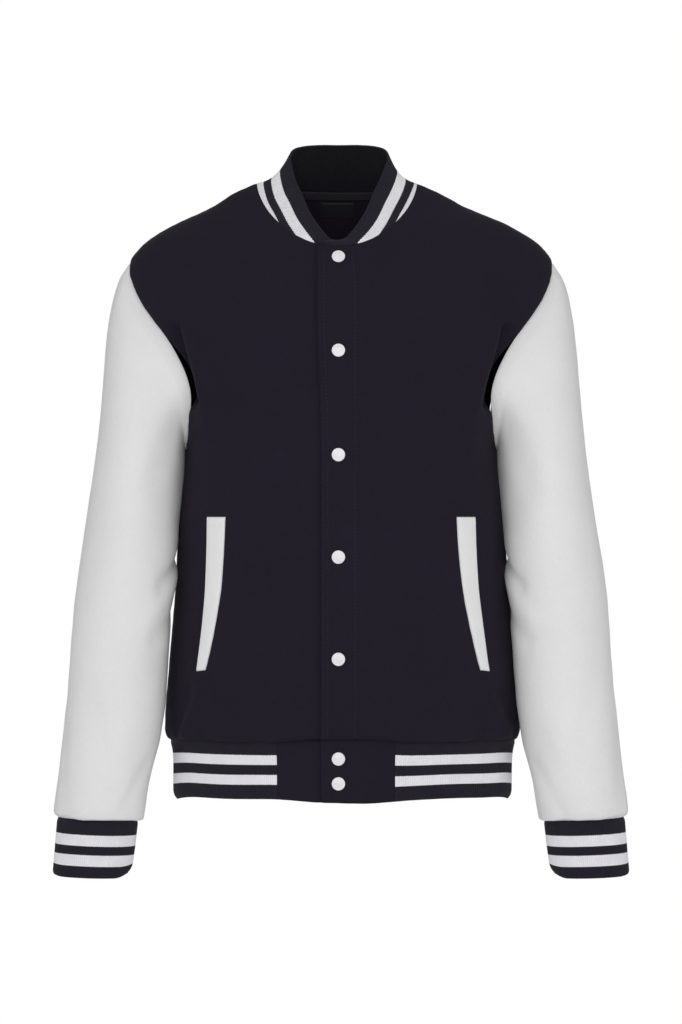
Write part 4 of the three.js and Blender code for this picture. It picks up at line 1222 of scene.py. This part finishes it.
def rib_material(name, navy, white, stripes, pitch):
    """Rib knit: stripes by the distance from the edge, with edges stepped by the stitches, each rib a column
    of
    V-shaped stitches, painted shade in the grooves, and a dark painted shade over the rib's inner side."""
    material, tree, shader = new_material(
        name, Sheen_Weight=0.12, Sheen_Roughness=0.5, Sheen_Tint=(0.6, 0.6, 0.66, 1.0),
        Specular_IOR_Level=0.25,
    )
    uv = add(tree, "ShaderNodeTexCoord").outputs["UV"]
    parts = add(tree, "ShaderNodeSeparateXYZ", {0: uv})
    run = calc(tree, "MULTIPLY", parts.outputs[0], 100.0)
    rise = calc(tree, "MULTIPLY", parts.outputs[1], 100.0)
    ribs = calc(tree, "DIVIDE", run, pitch)
    slope = calc(tree, "ABSOLUTE", calc(tree, "SINE", calc(tree, "MULTIPLY", ribs, float(np.pi))))
    jag = add(tree, "ShaderNodeTexNoise", {"Vector": uv, "Scale": 40.0, "Detail": 2.0}).outputs[0]
    knit = calc(tree, "ADD", rise, calc(tree, "MULTIPLY", slope, 0.55))
    knit = calc(tree, "ADD", knit, calc(tree, "MULTIPLY", calc(tree, "SUBTRACT", jag, 0.5), 0.7))
    ramp = add(tree, "ShaderNodeValToRGB", {0: calc(tree, "DIVIDE", knit, 100.0)})
    band = ramp.color_ramp
    band.interpolation = "LINEAR"
    soft = STRIPE_EDGE
    stops = [(0.0, 0.0)]
    for start, end in stripes:
        stops += [(start / 100, 0.0), (start / 100 + soft, 1.0), (end / 100, 1.0), (end / 100 + soft, 0.0)]
    band.elements[0].position = 0.0
    band.elements[0].color = (0, 0, 0, 1)
    band.elements.remove(band.elements[1])
    for position, value in stops[1:]:
        band.elements.new(position).color = (value, value, value, 1)
    cloud = add(tree, "ShaderNodeTexNoise", {"Vector": uv, "Scale": 6.0, "Detail": 3.0}).outputs[0]
    fibre = add(tree, "ShaderNodeTexNoise", {"Vector": uv, "Scale": 130.0, "Detail": 3.0}).outputs[0]
    tone = calc(tree, "ADD", calc(tree, "MULTIPLY", cloud, 0.5), calc(tree, "MULTIPLY", fibre, 0.5))
    tone = ranged(tree, tone, 0.3, 0.7, 0.0, 1.0)
    dark = mixed(tree, tone, shade(navy, 0.86), shade(navy, 1.16))
    pale = mixed(tree, tone, shade(white, 0.93), shade(white, 1.05))
    striped = mixed(tree, ramp.outputs[0], dark, pale)
    # Painted shade in the grooves: the colour is darkened by up to a tenth where the ribs dip.
    groove_shaded = mixed(tree, ranged(tree, slope, 0.0, 0.5, 0.1, 0.0), striped, (0.0, 0.0, 0.0, 1.0), "MULTIPLY")
    # Painted shade: places below half of INSIDE_FROM, the rib's inner side, take a dark shade of the navy
    # (0.22 of it) in place of the stripes.
    within = calc(tree, "LESS_THAN", rise, INSIDE_FROM / 2)
    tree.links.new(mixed(tree, within, groove_shaded, shade(navy, 0.22)), shader.inputs["Base Color"])
    tree.links.new(ranged(tree, fibre, 0.3, 0.7, 0.82, 0.95), shader.inputs["Roughness"])
    course = calc(tree, "ADD", rise, calc(tree, "MULTIPLY", slope, 0.8))
    loops = calc(tree, "ABSOLUTE", calc(tree, "SINE", calc(tree, "MULTIPLY", course, float(np.pi / 1.25))))
    height = calc(tree, "ADD", calc(tree, "MULTIPLY", loops, 0.6), calc(tree, "MULTIPLY", fibre, 0.5))
    bump = add(tree, "ShaderNodeBump", {"Height": height, "Strength": 0.45, "Distance": 0.0004})
    tree.links.new(bump.outputs[0], shader.inputs["Normal"])
    return material


def woven_material(name, colour, gloss, slant):
    """A close weave in the strip's own places: two sets of fine threads, turned to a herringbone where
    slant is more than 0."""
    material, tree, shader = new_material(name, Specular_IOR_Level=0.3, Sheen_Weight=0.1)
    uv = add(tree, "ShaderNodeTexCoord").outputs["UV"]
    parts = add(tree, "ShaderNodeSeparateXYZ", {0: uv})
    run = calc(tree, "MULTIPLY", parts.outputs[0], 100.0)
    rise = calc(tree, "MULTIPLY", parts.outputs[1], 100.0)
    zigzag = calc(tree, "PINGPONG", run, 2.5)
    lean = calc(tree, "ADD", rise, calc(tree, "MULTIPLY", zigzag, slant))
    weft = calc(tree, "SINE", calc(tree, "MULTIPLY", lean, float(2 * np.pi / 0.8)))
    warp = calc(tree, "SINE", calc(tree, "MULTIPLY", run, float(2 * np.pi / 0.6)))
    weave = calc(tree, "ADD", calc(tree, "MULTIPLY", weft, 0.6), calc(tree, "MULTIPLY", warp, 0.3))
    tone = ranged(tree, weave, -0.9, 0.9, 0.0, 1.0)
    tree.links.new(mixed(tree, tone, shade(colour, 0.8), shade(colour, 1.25)), shader.inputs["Base Color"])
    tree.links.new(ranged(tree, weave, -0.9, 0.9, gloss, gloss + 0.12), shader.inputs["Roughness"])
    bump = add(tree, "ShaderNodeBump", {"Height": weave, "Strength": 0.35, "Distance": 0.0003})
    tree.links.new(bump.outputs[0], shader.inputs["Normal"])
    return material


def enamel_material(name, colour):
    """Enamelled metal: nearly even colour with a slight orange-peel surface and fine wear marks."""
    material, tree, shader = new_material(name, Coat_Weight=0.25, Coat_Roughness=0.25)
    place = add(tree, "ShaderNodeTexCoord").outputs["Object"]
    peel = add(tree, "ShaderNodeTexNoise", {"Vector": place, "Scale": 700.0, "Detail": 2.0}).outputs[0]
    cloud = add(tree, "ShaderNodeTexNoise", {"Vector": place, "Scale": 160.0, "Detail": 3.0}).outputs[0]
    tone = ranged(tree, cloud, 0.3, 0.7, 0.0, 1.0)
    tree.links.new(mixed(tree, tone, shade(colour, 0.95), shade(colour, 1.03)), shader.inputs["Base Color"])
    tree.links.new(ranged(tree, cloud, 0.3, 0.7, 0.36, 0.5), shader.inputs["Roughness"])
    bump = add(tree, "ShaderNodeBump", {"Height": peel, "Strength": 0.08, "Distance": 0.0002})
    tree.links.new(bump.outputs[0], shader.inputs["Normal"])
    return material


def thread_material(name, colour):
    """Twisted sewing thread: fine slanting plies in the stitch's own places."""
    material, tree, shader = new_material(name, Sheen_Weight=0.1, Specular_IOR_Level=0.35)
    uv = add(tree, "ShaderNodeTexCoord").outputs["UV"]
    parts = add(tree, "ShaderNodeSeparateXYZ", {0: uv})
    twist = calc(tree, "ADD", calc(tree, "MULTIPLY", parts.outputs[0], 900.0),
                 calc(tree, "MULTIPLY", parts.outputs[1], 600.0))
    ply = calc(tree, "SINE", twist)
    tone = ranged(tree, ply, -1.0, 1.0, 0.0, 1.0)
    tree.links.new(mixed(tree, tone, shade(colour, 0.8), shade(colour, 1.2)), shader.inputs["Base Color"])
    tree.links.new(ranged(tree, ply, -1.0, 1.0, 0.6, 0.8), shader.inputs["Roughness"])
    return material


def once(name, make):
    """The material of that name, made the first time that it is asked for."""
    return bpy.data.materials.get(name) or make(name)


def navy_fleece(cloth):
    """The body's fleece."""
    return once("navy_fleece", lambda n: fleece_material(n, cloth.navy, 0.12, 0.16, 0.5))


def white_fleece(cloth):
    """The sleeves' fleece."""
    return once("white_fleece", lambda n: fleece_material(n, cloth.white, 0.1, 0.035, 0.4))


class JacketCloth(bpy.types.PropertyGroup):
    """Sizes and colours of the fleece."""

    navy: FloatVectorProperty(name="Body Colour", description="Colour of the body's fleece",
                              subtype="COLOR", size=3, min=0, max=1, default=(0.0108, 0.0078, 0.0172))
    white: FloatVectorProperty(name="Sleeve Colour", description="Colour of the sleeves' fleece",
                               subtype="COLOR", size=3, min=0, max=1, default=(0.79, 0.79, 0.79))
    welt: FloatVectorProperty(name="Welt Colour", description="Colour of the pocket welts",
                              subtype="COLOR", size=3, min=0, max=1, default=(0.8, 0.8, 0.805))
    fleece: FloatProperty(name="Cloth Thickness", description="Thickness of the fleece",
                          unit="LENGTH", default=0.002, min=0.001, max=0.004, precision=4)
    folds: FloatProperty(name="Folds", description="How deep the folds are", subtype="FACTOR",
                         default=1.0, min=0, max=2)
    gathers: FloatProperty(name="Gathers", description="How deep the gathers at the ribs are",
                           subtype="FACTOR", default=1.0, min=0, max=2)

    @property
    def fleece_mm(self):
        return self.fleece / MM


class JacketRib(bpy.types.PropertyGroup):
    """Sizes and colours of the rib knit."""

    navy: FloatVectorProperty(name="Rib Colour", description="Main colour of the ribs",
                              subtype="COLOR", size=3, min=0, max=1, default=(0.0118, 0.0092, 0.018))
    white: FloatVectorProperty(name="Stripe Colour", description="Colour of the stripes",
                               subtype="COLOR", size=3, min=0, max=1, default=(0.83, 0.82, 0.86))
    pitch: FloatProperty(name="Rib Spacing", description="Distance from one rib to the next",
                         unit="LENGTH", default=0.0024, min=0.0018, max=0.006, precision=4)
    height: FloatProperty(name="Rib Height", description="Height of a rib above the grooves",
                          unit="LENGTH", default=0.0005, min=0.0002, max=0.0015, precision=4)
    thickness: FloatProperty(name="Rib Thickness", description="Thickness of the doubled rib knit",
                             unit="LENGTH", default=0.0024, min=0.001, max=0.005, precision=4)
    points: IntProperty(name="Points in a Rib", description="Grid steps across one rib", default=4,
                        min=4, max=12)

    @property
    def rib_pitch_mm(self):
        return self.pitch / MM

    @property
    def rib_mm(self):
        return self.height / MM

    @property
    def rib_wall_mm(self):
        return self.thickness / MM

    @property
    def rib_points(self):
        return self.points


class JacketTrim(bpy.types.PropertyGroup):
    """Sizes and colours of the snaps, stitches, tape and label."""

    snap: FloatProperty(name="Snap Radius", description="Radius of a snap cap", unit="LENGTH",
                        default=0.0073, min=0.005, max=0.012, precision=4)
    snap_colour: FloatVectorProperty(name="Snap Colour", description="Colour of the snaps' enamel",
                                     subtype="COLOR", size=3, min=0, max=1, default=(0.82, 0.81, 0.84))
    tape_colour: FloatVectorProperty(name="Tape Colour", description="Colour of the neck tape",
                                     subtype="COLOR", size=3, min=0, max=1, default=(0.016, 0.014, 0.019))
    label_colour: FloatVectorProperty(name="Label Colour", description="Colour of the bare neck label",
                                      subtype="COLOR", size=3, min=0, max=1, default=(0.006, 0.0055, 0.0075))


class JacketStage(bpy.types.PropertyGroup):
    """Floor, light and ground of the picture."""

    floor: FloatVectorProperty(name="Floor Colour", description="Colour of the floor", subtype="COLOR",
                               size=3, min=0, max=1, default=(0.9, 0.9, 0.9))
    floor_below: FloatProperty(name="Floor Below Origin", description="How far the floor is below",
                               unit="LENGTH", default=1.45, min=0.8, max=3)
    floor_radius: FloatProperty(name="Floor Radius", description="Radius of the floor's disc",
                                unit="LENGTH", default=3.3, min=1, max=20)
    ambient: FloatProperty(name="Ambient Light", description="Strength of the even light", default=0.4,
                           min=0, max=2)
    key: FloatProperty(name="Key Light", description="Power of the large soft light in front",
                       subtype="POWER", default=70.0, min=0, max=1000)


class JACKET_OT_fronts(bpy.types.Operator):
    """Build both fleece fronts"""

    bl_idname = "jacket.fronts"
    bl_label = "Fronts"

    def execute(self, context):
        cloth = context.scene.jacket_cloth
        for name, sign, area in (("left", 1, 0.155), ("right", -1, 0.152)):
            part = front_panel(sign, cloth, rows=(84, 42, 62), columns=112)
            node = f"front_{name}"
            piece = put_in(f"fleece_{node}", part, navy_fleece(cloth), [node])
        return {"FINISHED"}


class JACKET_OT_back(bpy.types.Operator):
    """Build the fleece back"""

    bl_idname = "jacket.back"
    bl_label = "Back"

    def execute(self, context):
        cloth = context.scene.jacket_cloth
        part = back_panel(cloth, rows=(84, 46, 50), columns=96)
        piece = put_in("fleece_back_panel", part, navy_fleece(cloth), ["back"])
        return {"FINISHED"}


class JACKET_OT_sleeves(bpy.types.Operator):
    """Build both sleeves"""

    bl_idname = "jacket.sleeves"
    bl_label = "Sleeves"

    def execute(self, context):
        cloth = context.scene.jacket_cloth
        for name, sign in (("left", 1), ("right", -1)):
            part = sleeve_panel(cloth, sign, around=168, along=176)
            node = f"sleeve_{name}"
            piece = put_in(f"fleece_{node}", part, white_fleece(cloth), [node])
        return {"FINISHED"}


class JACKET_OT_cuffs(bpy.types.Operator):
    """Build both ribbed cuffs"""

    bl_idname = "jacket.cuffs"
    bl_label = "Cuffs"

    def execute(self, context):
        rib = context.scene.jacket_rib
        material = once("cuff_rib", lambda n: rib_material(
            n, rib.navy, rib.white, CUFF_STRIPES, rib.rib_pitch_mm))
        part = cuff_wall(rib, along=24)
        for name, shape in (("left", part), ("right", mirrored(part))):
            piece = put_in(f"rib_cuff_{name}", shape, material, [f"cuff_{name}"])
        return {"FINISHED"}


class JACKET_OT_collar(bpy.types.Operator):
    """Build the ribbed stand collar"""

    bl_idname = "jacket.collar"
    bl_label = "Collar"

    def execute(self, context):
        rib = context.scene.jacket_rib
        material = once("collar_rib", lambda n: rib_material(
            n, rib.navy, rib.white, COLLAR_STRIPES, rib.rib_pitch_mm))
        piece = put_in("rib_collar", collar_wall(rib, along=24), material, ["collar"])
        return {"FINISHED"}


class JACKET_OT_waistband(bpy.types.Operator):
    """Build the waistband's striped rib and its two plain ends"""

    bl_idname = "jacket.waistband"
    bl_label = "Waistband"

    def execute(self, context):
        rib, cloth = context.scene.jacket_rib, context.scene.jacket_cloth
        material = once("band_rib", lambda n: rib_material(
            n, rib.navy, rib.white, BAND_STRIPES, rib.rib_pitch_mm))
        piece = put_in("rib_waistband", band_rib(rib, along=22), material, ["waistband_rib"])
        ends = (
            ("right", BAND_RIGHT_END + SEAM / 2, RIGHT_EDGE, False),
            ("left", BAND_LEFT_END - SEAM / 2, LEFT_EDGE, True),
        )
        for name, from_x, to_x, lifted in ends:
            part = band_end(cloth, from_x, to_x, lifted, around=56, along=40)
            node = f"waistband_end_{name}"
            end = put_in(f"fleece_{node}", part, navy_fleece(cloth), [node])
        return {"FINISHED"}


class JACKET_OT_pockets(bpy.types.Operator):
    """Build the two pocket welts"""

    bl_idname = "jacket.pockets"
    bl_label = "Pocket Welts"

    def execute(self, context):
        cloth = context.scene.jacket_cloth
        material = once("welt_fleece", lambda n: fleece_material(n, cloth.welt, 0.1, 0.03, 0.4))
        for name, sign in (("left", 1), ("right", -1)):
            part = welt_wall(cloth, sign, across=26, along=90)
            piece = put_in(f"welt_{name}", part, material, [f"pocket_welt_{name}"])
        return {"FINISHED"}


class JACKET_OT_inside(bpy.types.Operator):
    """Build the neck tape and the bare neck label"""

    bl_idname = "jacket.inside"
    bl_label = "Tape and Label"

    def execute(self, context):
        cloth, trim = context.scene.jacket_cloth, context.scene.jacket_trim
        weave = once("tape_weave", lambda n: woven_material(n, trim.tape_colour, 0.7, 1.0))
        satin = once("label_satin", lambda n: woven_material(n, trim.label_colour, 0.4, 0.0))
        part = inside_strip(cloth, TAPE, lambda x: neck_back_z(x) - TAPE["below"], 90, 12)
        tape = put_in("herringbone_neck_tape", part, weave, ["neck_tape"])
        part = inside_strip(cloth, LABEL, lambda x: LABEL["top"] + 0 * x, 40, 20)
        label = put_in("bare_neck_label", part, satin, ["neck_label"])
        return {"FINISHED"}


class JACKET_OT_snaps(bpy.types.Operator):
    """Build the seven snap caps"""

    bl_idname = "jacket.snaps"
    bl_label = "Snaps"

    def execute(self, context):
        trim = context.scene.jacket_trim
        material = once("snap_enamel", lambda n: enamel_material(n, trim.snap_colour))
        points, quads, places = snap_shape(trim.snap / MM)
        for number, z in enumerate(SNAP_HEIGHTS, start=1):
            if z > BAND_TOP:
                point, out = body_points(turn_at(SNAP_X, z), z)
            else:
                point, out = section_points(band_turn(SNAP_X), z, **BAND)
            centre = point + level(out) * LIFT + out * SEAM
            side = unit(np.cross(out, (0, 0, 1)))
            up = np.cross(side, out)
            turned = centre + points @ np.array([side, up, out])
            put_in(f"snap_{number}", (turned, quads, places), material, [f"snap_cap_{number}"])
        return {"FINISHED"}


class JACKET_OT_stitching(bpy.types.Operator):
    """Build the rows of stitches on the closure, the facing and the pocket welts"""

    bl_idname = "jacket.stitching"
    bl_label = "Stitching"

    def execute(self, context):
        cloth = context.scene.jacket_cloth
        rows = []
        for place, low, high in ((EDGE_STITCH, -611, -73), (FACING_STITCH, -611, -72)):
            x = LEFT_EDGE + place
            z = np.linspace(low, high, 400)
            line, out = cloth_face(turn_at(x, z), z, "front", 1, cloth.folds, cloth.gathers)
            line = line + level(out) * lap_lift(np.full(400, x))[:, None] - out * 0.35
            rows.append(stitches(line, out))
        navy = once("navy_thread", lambda n: thread_material(n, shade(cloth.navy, 1.3)))
        piece = put_in("navy_stitches", settled(joined(*rows)), navy)
        white = once("white_thread", lambda n: thread_material(n, cloth.welt))
        for name, sign in (("left", 1), ("right", -1)):
            rows = []
            for share in WELT_STITCHES:
                z = np.linspace(WELT[0, 0] + 3, WELT[-1, 0] - 3, 160)
                near, far = (smooth(WELT[:, 0], WELT[:, k])(z) for k in (1, 2))
                x = near + (far - near) * share
                line, out = cloth_face(turn_at(x, z), z, "front", sign, cloth.folds, cloth.gathers)
                row = stitches(line + out * 1.95, out, length=2.6, gap=1.2, thread=0.26)
                rows.append(row if sign > 0 else mirrored(row))
            put_in(f"welt_stitches_{name}", settled(joined(*rows)), white)
        return {"FINISHED"}


class JACKET_OT_stage(bpy.types.Operator):
    """Build the floor, the light and the camera"""

    bl_idname = "jacket.stage"
    bl_label = "Stage"

    def execute(self, context):
        scene, stage = context.scene, context.scene.jacket_stage
        angle = np.linspace(0, 2 * np.pi, 65)[:-1]
        rim = np.stack([np.cos(angle), np.sin(angle), 0 * angle], axis=1) * stage.floor_radius
        rim[:, 2] = -stage.floor_below
        mesh = bpy.data.meshes.new("floor")
        mesh.from_pydata(rim.tolist(), [], [list(range(64))])
        floor = bpy.data.objects.new("floor", mesh)
        scene.collection.objects.link(floor)
        material, tree, shader = new_material("floor_paper", Roughness=0.95, Specular_IOR_Level=0.1)
        place = add(tree, "ShaderNodeTexCoord").outputs["Object"]
        grain = add(tree, "ShaderNodeTexNoise", {"Vector": place, "Scale": 30.0, "Detail": 3.0}).outputs[0]
        tree.links.new(
            mixed(tree, grain, shade(stage.floor, 0.985), shade(stage.floor, 1.015)),
            shader.inputs["Base Color"],
        )
        mesh.materials.append(material)

        world = bpy.data.worlds.new("white_ground")
        world.use_nodes = True
        scene.world = world
        tree = world.node_tree
        ground = tree.nodes["Background"]
        ground.inputs["Color"].default_value = (1, 1, 1, 1)
        seen = add(tree, "ShaderNodeLightPath").outputs["Is Camera Ray"]
        strength = calc(tree, "MULTIPLY_ADD", seen, 1.0 - stage.ambient, stage.ambient)
        tree.links.new(strength, ground.inputs["Strength"])

        for name, (place, size, share) in LIGHTS.items():
            data = bpy.data.lights.new(name, "AREA")
            data.shape = "DISK"
            data.size = size
            data.energy = stage.key * share
            light = bpy.data.objects.new(name, data)
            light.location = place
            aim = Vector((0, 0, -0.36)) - Vector(place)
            light.rotation_mode = "QUATERNION"
            light.rotation_quaternion = aim.to_track_quat("-Z", "Y")
            scene.collection.objects.link(light)

        camera_data = bpy.data.cameras.new("camera")
        camera_data.sensor_fit = "AUTO"
        camera_data.sensor_width = SENSOR
        camera_data.lens = CAMERA_AWAY * SENSOR / PICTURE_HIGH
        camera = bpy.data.objects.new("camera", camera_data)
        camera.location = (0, -CAMERA_AWAY, CAMERA_HEIGHT)
        camera.rotation_euler = (np.pi / 2, 0, 0)
        scene.collection.objects.link(camera)
        scene.camera = camera
        scene.view_settings.view_transform = "Standard"
        scene.view_settings.look = "None"
        return {"FINISHED"}


class JACKET_PT_panel(bpy.types.Panel):
    """Lists the jacket's values and the steps that build it"""

    bl_label = "Varsity Jacket"
    bl_idname = "JACKET_PT_panel"
    bl_space_type = "VIEW_3D"
    bl_region_type = "UI"
    bl_category = "Jacket"

    def draw(self, context):
        layout = self.layout
        for group, names in PANEL_VALUES.items():
            box = layout.box()
            for name in names:
                box.prop(getattr(context.scene, group), name)
        for operator in OPERATORS:
            layout.operator(operator.bl_idname)


PANEL_VALUES = {
    "jacket_cloth": ("navy", "white", "welt", "fleece", "folds", "gathers"),
    "jacket_rib": ("navy", "white", "pitch", "height", "thickness", "points"),
    "jacket_trim": ("snap", "snap_colour", "tape_colour", "label_colour"),
    "jacket_stage": ("floor", "floor_below", "floor_radius", "ambient", "key"),
}
GROUPS = {
    "jacket_cloth": JacketCloth,
    "jacket_rib": JacketRib,
    "jacket_trim": JacketTrim,
    "jacket_stage": JacketStage,
}
OPERATORS = (
    JACKET_OT_fronts,
    JACKET_OT_back,
    JACKET_OT_sleeves,
    JACKET_OT_cuffs,
    JACKET_OT_collar,
    JACKET_OT_waistband,
    JACKET_OT_pockets,
    JACKET_OT_inside,
    JACKET_OT_snaps,
    JACKET_OT_stitching,
    JACKET_OT_stage,
)


def register():
    """Registers the classes and the scene's groups of values."""
    for group in (*GROUPS.values(), *OPERATORS, JACKET_PT_panel):
        bpy.utils.register_class(group)
    for name, group in GROUPS.items():
        setattr(bpy.types.Scene, name, PointerProperty(type=group))


def unregister():
    """Takes the groups of values and the classes away again."""
    for name in GROUPS:
        delattr(bpy.types.Scene, name)
    for group in reversed((*GROUPS.values(), *OPERATORS, JACKET_PT_panel)):
        bpy.utils.unregister_class(group)


def main():
    register()
    for operator in OPERATORS:
        group, name = operator.bl_idname.split(".")
        getattr(getattr(bpy.ops, group), name)()


if __name__ == "__main__":
    main()
